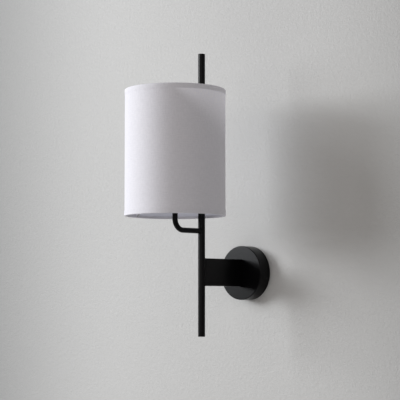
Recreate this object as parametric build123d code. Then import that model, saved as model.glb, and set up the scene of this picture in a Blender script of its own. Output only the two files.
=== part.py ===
from build123d import *
import os
from math import asin, cos, degrees, pi, radians, sin, sqrt

# Fabric shade wall light. All sizes are millimetres and degrees.
# The wall is the plane y = 0 and the room lies on its -y side. +z is up. The origin is the
# centre of the wall bracket's fixing slots, behind the middle of the round canopy.

# ------------------------------------------------------------------ driving sizes

# Canopy: the round pan against the wall
canopy_diameter = 100.0
canopy_depth = 26.0
canopy_wall = 1.2
canopy_edge_radius = 1.4

# Wall bracket: a flat strip with both ends folded towards the room
bracket_height = 26.0
bracket_thickness = 2.0
bracket_fold_depth = 15.0
wall_slot_spacing = 68.0
wall_slot_length = 12.0
wall_slot_width = 4.5
mains_entry_diameter = 14.0
canopy_screw_angle = 11.0
canopy_screw_diameter = 3.0
canopy_screw_head_diameter = 4.6
canopy_screw_head_height = 1.1
canopy_screw_length = 7.0

# Terminal block on the bracket, two poles one above the other
terminal_block_width = 16.0
terminal_block_height = 19.0
terminal_block_depth = 12.0
terminal_block_side_gap = 2.0
terminal_pitch = 8.4
terminal_insert_diameter = 4.4
terminal_insert_bore = 3.0
terminal_screw_diameter = 2.6
terminal_screw_inset = 4.0

# Earth connection
earth_screw_diameter = 4.0
earth_screw_head_diameter = 7.6
earth_screw_head_height = 2.6
earth_screw_reach = 16.0
earth_tag_diameter = 8.0
earth_tag_thickness = 0.8
earth_tag_barrel_length = 6.0
earth_tag_barrel_diameter = 3.4
earth_lead_diameter = 2.0
earth_lead_bend = 5.0

# Flat box bar between the canopy and the stem
bar_height = 50.0
bar_thickness = 9.0
bar_wall = 1.0
bar_block_length = 12.0
bar_screw_spacing = 32.0
bar_screw_diameter = 4.0
bar_screw_head_diameter = 7.0
bar_screw_head_height = 2.6
bar_screw_depth = 9.0
bar_washer_diameter = 9.0
bar_washer_thickness = 0.8
wire_slot_width = 5.0
wire_slot_height = 13.4
grommet_wall = 0.9
grommet_flange = 1.6
grommet_flange_thickness = 1.0

# Stem: the tall round tube
stem_diameter = 12.7
stem_wall = 1.2
stem_reach = 129.5
stem_drop = 116.0
stem_rise = 397.0
stem_plug_length = 8.0
stem_wire_slot_width = 3.2
stem_wire_slot_height = 12.0

# Bent arm that carries the lampholder
arm_diameter = 9.5
arm_wall = 0.9
arm_reach = 67.5
arm_height = 74.0
arm_bend_radius = 20.0
arm_upright = 36.0
arm_flare = 0.9
arm_flare_length = 2.2

# Coupling, nipple and lock nut between the arm and the lampholder
coupling_diameter = 14.0
coupling_length = 14.0
coupling_socket_depth = 5.0
nipple_diameter = 10.0
nipple_bore = 7.2
nipple_length = 20.0
lock_nut_across_flats = 14.0
lock_nut_thickness = 3.5

# Lampholder for an E27 lamp
holder_cap_height = 24.0
holder_cap_wall = 2.0
holder_cap_bottom_radius = 15.0
holder_boss_height = 8.0
holder_skirt_diameter = 39.5
holder_skirt_wall = 2.0
holder_skirt_height = 34.0
holder_flange_diameter = 46.0
holder_flange_thickness = 2.5
holder_core_height = 9.0
holder_terminal_screw_diameter = 3.0
holder_terminal_screw_length = 5.0
holder_terminal_screw_offset = 8.0
screw_shell_wall = 0.5
screw_shell_height = 24.0
centre_contact_width = 5.0
centre_contact_thickness = 0.5
centre_contact_lift = 2.0

# Shade ring: the nut that clamps the shade on the flange
shade_ring_diameter = 46.0
shade_ring_height = 8.0
shade_ring_grip_count = 24
shade_ring_grip_depth = 0.7

# Lamp
lamp_cap_diameter = 26.2
lamp_cap_wall = 0.4
lamp_cap_height = 22.0
lamp_insulator_height = 3.5
lamp_tip_diameter = 9.5
lamp_tip_height = 1.2
lamp_diameter = 37.0
lamp_glass_wall = 0.8
lamp_glass_height = 84.0
lamp_neck_rise = 12.0
lamp_mount_height = 24.0
lamp_filament_diameter = 1.8
lamp_filament_length = 38.0
lamp_filament_count = 4
lamp_filament_circle_radius = 6.0
lamp_support_diameter = 1.2

# Shade
shade_diameter = 180.0
shade_height = 225.0
shade_rise = 24.0
shade_fabric_thickness = 0.4
shade_liner_thickness = 0.5
shade_wire_diameter = 3.0
shade_hem_thickness = 0.5
shade_hem_height = 9.0
shade_hem_return = 5.0
shade_seam_width = 14.0
shade_seam_thickness = 0.4
shade_seam_angle = 3.5

# Spider: hub ring and four arms
spider_hub_width = 3.2
spider_hub_thickness = 2.0
spider_arm_diameter = 2.5
spider_arm_count = 4
spider_turn = 8.5

# Leads
lead_diameter = 2.0
lead_spread = 2.5
lead_entry = 4.0
lead_bend_block = 5.0
lead_bend_wide = 4.0
lead_bend_tight = 3.0

# Screw heads: width of the drive recess as a share of the head
screw_drive_share = 0.4

# Clearances
thread_clearance = 0.03
press_clearance = 0.02
slide_clearance = 0.2
glue_gap = 0.02
lamp_clearance = 0.1
hub_clearance = 0.5
seat_gap = 0.05
notch_clearance = 0.3

# ------------------------------------------------------------------ helpers


def round_bar(diameter, start, end):
    """Solid cylinder between two points."""
    line = Vector(*end) - Vector(*start)
    return extrude(Plane(origin=start, z_dir=line) * Circle(diameter / 2), amount=line.length)


def tube(outer_diameter, inner_diameter, start, end):
    """Hollow cylinder between two points."""
    return round_bar(outer_diameter, start, end) - round_bar(inner_diameter, start, end)


def headed_screw(diameter, head_diameter, head_height, tip, seat):
    """Screw from its tip to the seat of its head, with a drive recess in the head."""
    line = (Vector(*seat) - Vector(*tip)).normalized()
    crown = Vector(*seat) + line * head_height
    recess = Vector(*seat) + line * (head_height / 2)
    head = round_bar(head_diameter, seat, crown) - round_bar(screw_drive_share * head_diameter, recess, crown)
    return round_bar(diameter, tip, seat) + head


def block(low, high):
    """Rectangular solid between its lowest and highest corners."""
    size = [high[i] - low[i] for i in range(3)]
    return Pos(*low) * Box(*size, align=(Align.MIN, Align.MIN, Align.MIN))


def upright_slot(width, height, y_front, y_back):
    """Solid with a round-ended upright section, through which wires pass along y."""
    section = Plane.XZ * Rot(0, 0, 90) * SlotOverall(height, width)
    return Pos(0, y_back, 0) * extrude(section, amount=y_back - y_front)


def level_slot(width, length, x, y_front, y_back):
    """Solid with a round-ended level section, along y."""
    section = Plane.XZ * SlotOverall(length, width)
    return Pos(x, y_back, 0) * extrude(section, amount=y_back - y_front)


def turned(*points):
    """Solid of revolution about the upright shade axis, from (radius, height) points."""
    outline = Plane.XZ * make_face(Polyline(*points, close=True))
    return on_shade_axis(revolve(outline, Axis.Z))


def ring(outer_diameter, inner_diameter, z_low, z_high):
    """Flat-ended ring about the shade axis."""
    return disc(outer_diameter, z_low, z_high) - disc(inner_diameter, z_low, z_high)


def disc(diameter, z_low, z_high):
    """Flat-ended round solid on the shade axis."""
    return round_bar(diameter, (0, -shade_reach, z_low), (0, -shade_reach, z_high))


def on_shade_axis(shape):
    """Move a shape from the z axis to the shade axis."""
    return Pos(0, -shade_reach, 0) * shape


def around_shade(radius, turn, z):
    """Point at a radius and a turn from the wall direction, seen from the shade axis."""
    return (radius * sin(radians(turn)), -shade_reach + radius * cos(radians(turn)), z)


def swept_round(diameter, points, bends):
    """Round solid along straight runs joined by tangent arcs."""
    path = FilletPolyline(*points, radius=bends)
    start = Plane(origin=points[0], z_dir=Vector(*points[1]) - Vector(*points[0]))
    return sweep(start * Circle(diameter / 2), path=path)


def path_length(points, bends):
    """Length of straight runs whose right-angle corners are rounded."""
    runs = sum((Vector(*b) - Vector(*a)).length for a, b in zip(points, points[1:]))
    return runs - sum(bend * (2 - pi / 2) for bend in bends)


nodes = {}

# ------------------------------------------------------------------ shared places

canopy_radius = canopy_diameter / 2
canopy_inner_radius = canopy_radius - canopy_wall
canopy_inside_y = -(canopy_depth - canopy_wall)
canopy_face_y = -canopy_depth

bracket_half_height = bracket_height / 2
bracket_end_x = sqrt((canopy_inner_radius - slide_clearance) ** 2 - bracket_half_height**2)

shade_reach = stem_reach + arm_reach
shade_radius = shade_diameter / 2
shade_bottom_z = arm_height + shade_rise
shade_top_z = shade_bottom_z + shade_height

lead_offset = lead_spread / 2
pole_z = terminal_pitch / 2

# ------------------------------------------------------------------ canopy and bracket

canopy_body = round_bar(canopy_diameter, (0, 0, 0), (0, canopy_face_y, 0))
canopy_body = fillet(canopy_body.edges().filter_by(GeomType.CIRCLE).sort_by(Axis.Y)[0], canopy_edge_radius)
canopy_hollow = round_bar(2 * canopy_inner_radius, (0, 0, 0), (0, canopy_inside_y, 0))
canopy = canopy_body - canopy_hollow

bracket = block(
    (-bracket_end_x, -bracket_thickness, -bracket_half_height),
    (bracket_end_x, 0, bracket_half_height),
)
for side in (-1, 1):
    fold_xs = sorted((side * bracket_end_x, side * (bracket_end_x - bracket_thickness)))
    bracket += block(
        (fold_xs[0], -bracket_fold_depth, -bracket_half_height),
        (fold_xs[1], 0, bracket_half_height),
    )
    slot_x = side * wall_slot_spacing / 2
    bracket -= level_slot(wall_slot_width, wall_slot_length, slot_x, -bracket_thickness, 0)
bracket -= round_bar(mains_entry_diameter, (0, 0, 0), (0, -bracket_thickness, 0))

# Side screws: square to the canopy's rim, through it into the bracket's folded ends
canopy_screw_y = -(bracket_fold_depth + bracket_thickness) / 2
canopy_screws = []
for side in (-1, 1):
    across = side * cos(radians(canopy_screw_angle))
    down = -sin(radians(canopy_screw_angle))
    seat = (across * canopy_radius, canopy_screw_y, down * canopy_radius)
    tip_radius = canopy_radius - canopy_screw_length
    tip = (across * tip_radius, canopy_screw_y, down * tip_radius)
    past_rim = canopy_radius + canopy_wall
    outside = (across * past_rim, canopy_screw_y, down * past_rim)
    canopy_screws.append(
        headed_screw(canopy_screw_diameter, canopy_screw_head_diameter, canopy_screw_head_height, tip, seat)
    )
    hole = round_bar(canopy_screw_diameter + 2 * thread_clearance, tip, outside)
    canopy -= hole
    bracket -= hole
nodes["canopy_screws"] = Compound(canopy_screws)

# ------------------------------------------------------------------ box bar and its fixing

bar_half_height = bar_height / 2
bar_half_thickness = bar_thickness / 2
stem_solid = round_bar(stem_diameter, (0, -stem_reach, -stem_drop), (0, -stem_reach, stem_rise))
bar = block(
    (-bar_half_thickness, -stem_reach, -bar_half_height),
    (bar_half_thickness, canopy_face_y, bar_half_height),
)
bar_inside = block(
    (-bar_half_thickness + bar_wall, -stem_reach, -bar_half_height + bar_wall),
    (bar_half_thickness - bar_wall, canopy_face_y, bar_half_height - bar_wall),
)
bar = bar - bar_inside - stem_solid
nodes["box_bar"] = bar

bar_block_front_y = canopy_face_y - bar_block_length
bar_block_half_width = bar_half_thickness - bar_wall - press_clearance
bar_block_half_height = bar_half_height - bar_wall - press_clearance
bar_end_block = block(
    (-bar_block_half_width, bar_block_front_y, -bar_block_half_height),
    (bar_block_half_width, canopy_face_y, bar_block_half_height),
)
wire_way = upright_slot(wire_slot_width, wire_slot_height, bar_block_front_y, canopy_inside_y)
bar_end_block -= wire_way
canopy -= wire_way

bar_screw_bore = bar_screw_diameter + 2 * thread_clearance
bar_screws = []
bar_washers = []
bar_screw_tip_y = canopy_face_y - bar_screw_depth
for side in (-1, 1):
    screw_z = side * bar_screw_spacing / 2
    washer_y = canopy_inside_y + bar_washer_thickness
    head_y = washer_y + (earth_tag_thickness if side > 0 else 0)
    tip = (0, bar_screw_tip_y, screw_z)
    seat = (0, head_y, screw_z)
    bar_screws.append(
        headed_screw(bar_screw_diameter, bar_screw_head_diameter, bar_screw_head_height, tip, seat)
    )
    pan = (0, canopy_inside_y, screw_z)
    tapped = round_bar(bar_screw_bore, tip, pan)
    bar_end_block -= tapped
    canopy -= tapped
    bar_washers.append(tube(bar_washer_diameter, bar_screw_bore, pan, (0, washer_y, screw_z)))
nodes["bar_end_block"] = bar_end_block
nodes["bar_screws"] = Compound(bar_screws)
nodes["bar_washers"] = Compound(bar_washers)
nodes["canopy"] = canopy

# Grommet: lines the canopy's wire slot and has a flange on the inside
grommet_width = wire_slot_width - 2 * press_clearance
grommet_height = wire_slot_height - 2 * press_clearance
grommet_inner_y = canopy_inside_y + grommet_flange_thickness
grommet = upright_slot(grommet_width, grommet_height, canopy_face_y, canopy_inside_y)
grommet += upright_slot(
    grommet_width + 2 * grommet_flange,
    grommet_height + 2 * grommet_flange,
    canopy_inside_y,
    grommet_inner_y,
)
grommet -= upright_slot(
    grommet_width - 2 * grommet_wall, grommet_height - 2 * grommet_wall, canopy_face_y, grommet_inner_y
)
nodes["wire_grommet"] = grommet

# ------------------------------------------------------------------ terminal block

block_low_x = mains_entry_diameter / 2 + terminal_block_side_gap
block_high_x = block_low_x + terminal_block_width
block_front_y = -bracket_thickness - terminal_block_depth
block_mid_y = -bracket_thickness - terminal_block_depth / 2
terminal_block = block(
    (block_low_x, block_front_y, -terminal_block_height / 2),
    (block_high_x, -bracket_thickness, terminal_block_height / 2),
)
terminal_inserts = []
terminal_screws = []
for pole in (-pole_z, pole_z):
    low = (block_low_x, block_mid_y, pole)
    high = (block_high_x, block_mid_y, pole)
    terminal_block -= round_bar(terminal_insert_diameter + 2 * press_clearance, low, high)
    insert = tube(terminal_insert_diameter, terminal_insert_bore, low, high)
    for screw_x in (block_low_x + terminal_screw_inset, block_high_x - terminal_screw_inset):
        outer = (screw_x, block_front_y, pole)
        seat = (screw_x, block_mid_y - lead_diameter / 2 - press_clearance, pole)
        screw_hole = round_bar(terminal_screw_diameter + 2 * thread_clearance, outer, seat)
        terminal_block -= screw_hole
        insert -= screw_hole
        screw_top = (screw_x, block_front_y + terminal_screw_diameter / 2, pole)
        terminal_screws.append(round_bar(terminal_screw_diameter, screw_top, seat))
    terminal_inserts.append(insert)
nodes["terminal_block"] = terminal_block
nodes["terminal_inserts"] = Compound(terminal_inserts)
nodes["terminal_screws"] = Compound(terminal_screws)

# ------------------------------------------------------------------ earth connection

earth_tag_y = -bracket_thickness - earth_tag_thickness
earth_screw_x = -earth_screw_reach
earth_bore = earth_screw_diameter + 2 * thread_clearance
bracket -= round_bar(earth_bore, (earth_screw_x, 0, 0), (earth_screw_x, -bracket_thickness, 0))
nodes["earth_screw"] = headed_screw(
    earth_screw_diameter,
    earth_screw_head_diameter,
    earth_screw_head_height,
    (earth_screw_x, 0, 0),
    (earth_screw_x, earth_tag_y, 0),
)
nodes["wall_bracket"] = bracket

barrel_start = earth_tag_diameter / 2 - earth_tag_thickness
barrel_end = barrel_start + earth_tag_barrel_length
barrel_radius = earth_tag_barrel_diameter / 2

# The first tag lies under the earth screw and its barrel points up. The second lies under the
# upper bar screw and its barrel points towards the first.
first_tag = tube(
    earth_tag_diameter, earth_bore, (earth_screw_x, -bracket_thickness, 0), (earth_screw_x, earth_tag_y, 0)
)
first_barrel_y = -bracket_thickness - barrel_radius
first_barrel = round_bar(
    earth_tag_barrel_diameter,
    (earth_screw_x, first_barrel_y, barrel_start),
    (earth_screw_x, first_barrel_y, barrel_end),
)
first_barrel -= round_bar(
    earth_screw_head_diameter + slide_clearance,
    (earth_screw_x, earth_tag_y, 0),
    (earth_screw_x, canopy_inside_y, 0),
)
second_tag_y = canopy_inside_y + bar_washer_thickness
second_tag_z = bar_screw_spacing / 2
second_tag = tube(
    earth_tag_diameter,
    bar_screw_bore,
    (0, second_tag_y, second_tag_z),
    (0, second_tag_y + earth_tag_thickness, second_tag_z),
)
second_barrel_y = second_tag_y + barrel_radius
second_barrel = round_bar(
    earth_tag_barrel_diameter,
    (-barrel_start, second_barrel_y, second_tag_z),
    (-barrel_end, second_barrel_y, second_tag_z),
)
second_barrel -= round_bar(
    bar_screw_head_diameter + slide_clearance,
    (0, second_tag_y + earth_tag_thickness, second_tag_z),
    (0, 0, second_tag_z),
)
second_barrel -= round_bar(
    bar_washer_diameter + slide_clearance, (0, canopy_inside_y, second_tag_z), (0, second_tag_y, second_tag_z)
)
nodes["earth_tags"] = Compound([first_tag + first_barrel, second_tag + second_barrel])

earth_points = [
    (earth_screw_x, first_barrel_y, barrel_end),
    (earth_screw_x, first_barrel_y, second_tag_z),
    (earth_screw_x, second_barrel_y, second_tag_z),
    (-barrel_end, second_barrel_y, second_tag_z),
]
earth_bends = [earth_lead_bend] * 2
nodes["earth_lead"] = swept_round(earth_lead_diameter, earth_points, earth_bends)

# ------------------------------------------------------------------ stem and arm

stem_inner_diameter = stem_diameter - 2 * stem_wall
arm_inner_diameter = arm_diameter - 2 * arm_wall
stem_bottom = (0, -stem_reach, -stem_drop)
stem_top = (0, -stem_reach, stem_rise)
stem = stem_solid - round_bar(stem_inner_diameter, stem_bottom, stem_top)
stem_back_y = -stem_reach + stem_diameter / 2
stem_front_y = -stem_reach - stem_diameter / 2
stem -= upright_slot(stem_wire_slot_width, stem_wire_slot_height, -stem_reach, stem_back_y)
stem -= round_bar(arm_inner_diameter, (0, -stem_reach, arm_height), (0, stem_front_y, arm_height))
nodes["stem"] = stem

plug_diameter = stem_inner_diameter - 2 * press_clearance
top_plug_foot = (0, -stem_reach, stem_rise - stem_plug_length)
bottom_plug_head = (0, -stem_reach, -stem_drop + stem_plug_length)
nodes["stem_top_plug"] = round_bar(plug_diameter, top_plug_foot, stem_top)
nodes["stem_bottom_plug"] = round_bar(plug_diameter, stem_bottom, bottom_plug_head)

arm_top_z = arm_height + arm_upright
arm_points = [(0, -stem_reach, arm_height), (0, -shade_reach, arm_height), (0, -shade_reach, arm_top_z)]
arm = swept_round(arm_diameter, arm_points, [arm_bend_radius])
flare = Cone(
    arm_diameter / 2 + arm_flare,
    arm_diameter / 2,
    arm_flare_length + stem_diameter / 2,
    align=(Align.CENTER, Align.CENTER, Align.MIN),
)
arm += Pos(0, -stem_reach, arm_height) * Rot(90, 0, 0) * flare
arm -= swept_round(arm_inner_diameter, arm_points, [arm_bend_radius])
arm -= stem_solid
nodes["arm"] = arm

# ------------------------------------------------------------------ coupling, nipple, lock nut

coupling_bottom_z = arm_top_z - coupling_socket_depth
coupling_top_z = coupling_bottom_z + coupling_length
nipple_hole = nipple_diameter + 2 * thread_clearance
coupling = ring(coupling_diameter, nipple_hole, coupling_bottom_z, coupling_top_z)
coupling += ring(coupling_diameter, arm_diameter + 2 * press_clearance, coupling_bottom_z, arm_top_z)
nodes["arm_coupling"] = coupling

lock_nut_top_z = coupling_top_z + lock_nut_thickness
lock_nut_section = RegularPolygon(lock_nut_across_flats / 2, 6, major_radius=False)
lock_nut = on_shade_axis(Pos(0, 0, coupling_top_z) * extrude(lock_nut_section, amount=lock_nut_thickness))
lock_nut -= disc(nipple_hole, coupling_top_z, lock_nut_top_z)
nodes["lock_nut"] = lock_nut
nodes["holder_nipple"] = ring(nipple_diameter, nipple_bore, arm_top_z, arm_top_z + nipple_length)

# ------------------------------------------------------------------ lampholder

skirt_radius = holder_skirt_diameter / 2
skirt_inner_radius = skirt_radius - holder_skirt_wall
cap_bottom_z = lock_nut_top_z
cap_top_z = cap_bottom_z + holder_cap_height
cap_shoulder_z = cap_bottom_z + holder_boss_height + holder_cap_wall / 2
boss_radius = nipple_diameter / 2 + holder_cap_wall
nodes["holder_cap"] = turned(
    (nipple_hole / 2, cap_bottom_z),
    (holder_cap_bottom_radius, cap_bottom_z),
    (skirt_radius, cap_shoulder_z),
    (skirt_radius, cap_top_z),
    (skirt_inner_radius, cap_top_z),
    (skirt_inner_radius, cap_shoulder_z + holder_cap_wall / 2),
    (holder_cap_bottom_radius - holder_cap_wall, cap_bottom_z + holder_cap_wall),
    (boss_radius, cap_bottom_z + holder_cap_wall),
    (boss_radius, cap_bottom_z + holder_boss_height),
    (nipple_hole / 2, cap_bottom_z + holder_boss_height),
)

core_bottom_z = cap_top_z - holder_core_height
core = disc(2 * (skirt_inner_radius - press_clearance), core_bottom_z, cap_top_z)
holder_terminal_screws = []
for side in (-1, 1):
    wire_y = -shade_reach + side * lead_offset
    core -= round_bar(
        lead_diameter + 2 * press_clearance,
        (0, wire_y, core_bottom_z),
        (0, wire_y, core_bottom_z + lead_entry),
    )
    screw_x = side * holder_terminal_screw_offset
    screw_top = (screw_x, -shade_reach, core_bottom_z + holder_terminal_screw_length)
    screw_seat = (screw_x, -shade_reach, core_bottom_z)
    screw_foot = (screw_x, -shade_reach, core_bottom_z - holder_terminal_screw_diameter / 2)
    core -= round_bar(holder_terminal_screw_diameter + 2 * thread_clearance, screw_seat, screw_top)
    terminal_screw = round_bar(holder_terminal_screw_diameter, screw_seat, screw_top)
    terminal_screw += round_bar(2 * holder_terminal_screw_diameter, screw_foot, screw_seat)
    holder_terminal_screws.append(terminal_screw)
nodes["holder_core"] = core
nodes["holder_terminal_screws"] = Compound(holder_terminal_screws)

shell_inner_diameter = lamp_cap_diameter + 2 * lamp_clearance
shell_outer_diameter = shell_inner_diameter + 2 * screw_shell_wall
nodes["screw_shell"] = ring(
    shell_outer_diameter, shell_inner_diameter, cap_top_z, cap_top_z + screw_shell_height
)

# Centre contact: a strip on the core whose free end is lifted to meet the lamp
contact_half = shell_inner_diameter / 2 - screw_shell_wall - centre_contact_width / 2
contact_top = centre_contact_lift + centre_contact_thickness
contact_outline = Polyline(
    (-contact_half, 0),
    (-contact_half / 2, 0),
    (0, centre_contact_lift),
    (contact_half / 2, centre_contact_lift),
    (contact_half / 2, contact_top),
    (-centre_contact_thickness / 2, contact_top),
    (-contact_half / 2 - centre_contact_thickness / 2, centre_contact_thickness),
    (-contact_half, centre_contact_thickness),
    close=True,
)
contact = extrude(Plane.XZ * make_face(contact_outline), amount=centre_contact_width / 2, both=True)
nodes["centre_contact"] = on_shade_axis(Pos(0, 0, cap_top_z) * contact)

flange_top_z = cap_top_z + holder_flange_thickness
skirt_top_z = cap_top_z + holder_skirt_height
nodes["holder_skirt"] = turned(
    (skirt_inner_radius, cap_top_z),
    (holder_flange_diameter / 2, cap_top_z),
    (holder_flange_diameter / 2, flange_top_z),
    (skirt_radius, flange_top_z),
    (skirt_radius, skirt_top_z),
    (skirt_inner_radius, skirt_top_z),
)

# ------------------------------------------------------------------ lamp

lamp_tip_z = cap_top_z + contact_top + seat_gap
insulator_bottom_z = lamp_tip_z + lamp_tip_height
lamp_cap_bottom_z = insulator_bottom_z + lamp_insulator_height
lamp_cap_top_z = lamp_cap_bottom_z + lamp_cap_height
lamp_top_z = lamp_cap_top_z + lamp_glass_height
lamp_cap_radius = lamp_cap_diameter / 2
lamp_radius = lamp_diameter / 2
nodes["lamp_tip"] = disc(lamp_tip_diameter, lamp_tip_z, insulator_bottom_z)
nodes["lamp_insulator"] = turned(
    (0, insulator_bottom_z),
    (lamp_tip_diameter / 2, insulator_bottom_z),
    (lamp_cap_radius - lamp_cap_wall, lamp_cap_bottom_z),
    (0, lamp_cap_bottom_z),
)
nodes["lamp_cap"] = turned(
    (0, lamp_cap_bottom_z),
    (lamp_cap_radius, lamp_cap_bottom_z),
    (lamp_cap_radius, lamp_cap_top_z),
    (lamp_cap_radius - lamp_cap_wall, lamp_cap_top_z),
    (lamp_cap_radius - lamp_cap_wall, lamp_cap_bottom_z + lamp_cap_wall),
    (0, lamp_cap_bottom_z + lamp_cap_wall),
)


def lamp_form(inset):
    """Solid bulb shape on the shade axis, drawn in from the glass's outside by an inset."""
    neck = lamp_cap_radius - inset
    belly = lamp_radius - inset
    belly_z = lamp_cap_top_z + lamp_neck_rise
    dome_z = lamp_top_z - lamp_radius
    top_z = lamp_top_z - inset
    swell = lamp_radius - lamp_cap_radius
    shoulder = (swell**2 + lamp_neck_rise**2) / (2 * swell)
    shoulder_sweep = degrees(asin(lamp_neck_rise / shoulder))
    sides = [
        Line((0, lamp_cap_top_z), (neck, lamp_cap_top_z)),
        CenterArc((belly - shoulder, belly_z), shoulder, 0, -shoulder_sweep),
        Line((belly, belly_z), (belly, dome_z)),
        CenterArc((0, dome_z), belly, 0, 90),
        Line((0, top_z), (0, lamp_cap_top_z)),
    ]
    return on_shade_axis(revolve(Plane.XZ * make_face(sides), Axis.Z))


nodes["lamp_glass"] = lamp_form(0) - lamp_form(lamp_glass_wall)

mount_base_radius = lamp_cap_radius - lamp_glass_wall - press_clearance
mount_top_radius = lamp_filament_circle_radius + lamp_filament_diameter
mount_top_z = lamp_cap_top_z + lamp_mount_height
nodes["lamp_mount"] = turned(
    (0, lamp_cap_top_z),
    (mount_base_radius, lamp_cap_top_z),
    (mount_top_radius, mount_top_z),
    (0, mount_top_z),
)
filament_top_z = mount_top_z + lamp_filament_length
filaments = []
for step in range(lamp_filament_count):
    turn = 360 * step / lamp_filament_count
    foot = around_shade(lamp_filament_circle_radius, turn, mount_top_z)
    head = around_shade(lamp_filament_circle_radius, turn, filament_top_z)
    filaments.append(round_bar(lamp_filament_diameter, foot, head))
nodes["lamp_filaments"] = Compound(filaments)
support = disc(lamp_support_diameter, mount_top_z, filament_top_z)
support += disc(2 * mount_top_radius, filament_top_z, filament_top_z + lamp_support_diameter)
nodes["lamp_support"] = support

# ------------------------------------------------------------------ shade

hem_outer = shade_radius
fabric_outer = hem_outer - shade_hem_thickness - glue_gap
fabric_inner = fabric_outer - shade_fabric_thickness
liner_outer = fabric_inner - glue_gap
liner_inner = liner_outer - shade_liner_thickness
shade_wire_radius = shade_wire_diameter / 2
wire_circle = liner_inner - glue_gap - shade_wire_radius
return_outer = wire_circle - shade_wire_radius - glue_gap
return_inner = return_outer - shade_hem_thickness
wall_low_z = shade_bottom_z + shade_hem_thickness + glue_gap
wall_high_z = shade_top_z - shade_hem_thickness - glue_gap
low_wire_z = wall_low_z + shade_wire_radius
high_wire_z = wall_high_z - shade_wire_radius

nodes["shade_fabric"] = ring(2 * fabric_outer, 2 * fabric_inner, wall_low_z, wall_high_z)
nodes["shade_liner"] = ring(2 * liner_outer, 2 * liner_inner, wall_low_z, wall_high_z)
low_wire = Pos(0, -shade_reach, low_wire_z) * Torus(wire_circle, shade_wire_radius)
high_wire = Pos(0, -shade_reach, high_wire_z) * Torus(wire_circle, shade_wire_radius)
nodes["shade_bottom_wire"] = low_wire
nodes["shade_top_wire"] = high_wire


def hem(edge_z, inward):
    """Cloth folded over one rim of the shade; inward is +1 where the shade lies above the rim."""
    return turned(
        (hem_outer, edge_z),
        (hem_outer, edge_z + inward * shade_hem_height),
        (hem_outer - shade_hem_thickness, edge_z + inward * shade_hem_height),
        (hem_outer - shade_hem_thickness, edge_z + inward * shade_hem_thickness),
        (return_outer, edge_z + inward * shade_hem_thickness),
        (return_outer, edge_z + inward * shade_hem_return),
        (return_inner, edge_z + inward * shade_hem_return),
        (return_inner, edge_z),
    )


bottom_hem = hem(shade_bottom_z, 1)
nodes["shade_top_hem"] = hem(shade_top_z, -1)

seam = ring(
    2 * (fabric_outer + glue_gap + shade_seam_thickness),
    2 * (fabric_outer + glue_gap),
    shade_bottom_z + shade_hem_height + glue_gap,
    shade_top_z - shade_hem_height - glue_gap,
)
seam_window = block(
    (-shade_seam_width / 2, 0, shade_bottom_z), (shade_seam_width / 2, shade_radius, shade_top_z)
)
nodes["shade_seam"] = seam & on_shade_axis(Rot(0, 0, shade_seam_angle) * seam_window)

# ------------------------------------------------------------------ spider and shade ring

hub_bore = holder_skirt_diameter + 2 * hub_clearance
hub_diameter = hub_bore + 2 * spider_hub_width
hub_bottom_z = flange_top_z + seat_gap
hub_top_z = hub_bottom_z + spider_hub_thickness
hub = ring(hub_diameter, hub_bore, hub_bottom_z, hub_top_z)
nodes["spider_hub"] = hub

hub_mid_z = (hub_bottom_z + hub_top_z) / 2
hub_solid = disc(hub_diameter, hub_bottom_z - spider_arm_diameter, hub_top_z + spider_arm_diameter)
spider_arms = []
for step in range(spider_arm_count):
    turn = 360 * step / spider_arm_count - spider_turn
    inner = around_shade(hub_diameter / 2 - spider_arm_diameter, turn, hub_mid_z)
    outer = around_shade(wire_circle, turn, low_wire_z)
    spider_arms.append(round_bar(spider_arm_diameter, inner, outer) - hub_solid - low_wire)
    bottom_hem -= round_bar(spider_arm_diameter + 2 * notch_clearance, inner, outer)
nodes["spider_arms"] = Compound(spider_arms)
nodes["shade_bottom_hem"] = bottom_hem

shade_ring_low_z = hub_top_z + seat_gap
shade_ring_high_z = shade_ring_low_z + shade_ring_height
shade_ring = ring(
    shade_ring_diameter, holder_skirt_diameter + 2 * slide_clearance, shade_ring_low_z, shade_ring_high_z
)
for step in range(shade_ring_grip_count):
    turn = 360 * step / shade_ring_grip_count
    foot = around_shade(shade_ring_diameter / 2, turn, shade_ring_low_z)
    head = around_shade(shade_ring_diameter / 2, turn, shade_ring_high_z)
    shade_ring -= round_bar(2 * shade_ring_grip_depth, foot, head)
nodes["shade_ring"] = shade_ring

# ------------------------------------------------------------------ leads

# Both leads run from the terminal block, through the canopy, bar, stem and arm, to the lampholder.
# The upper one turns inside the lower one at the arm's bend.
lead_routes = {}
for name, side in (("live_lead", 1), ("neutral_lead", -1)):
    shift = side * lead_offset
    pole = side * pole_z
    stem_lane = -stem_reach + shift
    arm_lane = arm_height + shift
    holder_lane = -shade_reach + shift
    points = [
        (block_low_x + lead_entry, block_mid_y, pole),
        (0, block_mid_y, pole),
        (0, stem_lane, pole),
        (0, stem_lane, arm_lane),
        (0, holder_lane, arm_lane),
        (0, holder_lane, core_bottom_z + lead_entry),
    ]
    first_turn = lead_bend_tight if side > 0 else lead_bend_wide
    second_turn = lead_bend_wide if side > 0 else lead_bend_tight
    bends = [lead_bend_block, first_turn, second_turn, arm_bend_radius - shift]
    nodes[name] = swept_round(lead_diameter, points, bends)
    lead_routes[name] = (points, bends)

# ------------------------------------------------------------------ write the pieces

for name, (points, bends) in lead_routes.items():
    length = path_length(points, bends)
    swept = nodes[name].volume / (pi * (lead_diameter / 2) ** 2)
    print(f"{name}: {length:.1f} mm long, {swept:.1f} mm by volume, bends {bends} mm")
earth_length = path_length(earth_points, earth_bends)
print(f"earth_lead: {earth_length:.1f} mm long, bends {earth_bends} mm")

os.makedirs("parts", exist_ok=True)
for name, shape in nodes.items():
    export_step(shape, f"parts/{name}.step")
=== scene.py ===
"""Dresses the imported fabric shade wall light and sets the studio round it.

The wall is the plane y = 0, the room lies on its -y side and +z is up. All lengths are metres.
"""

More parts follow.
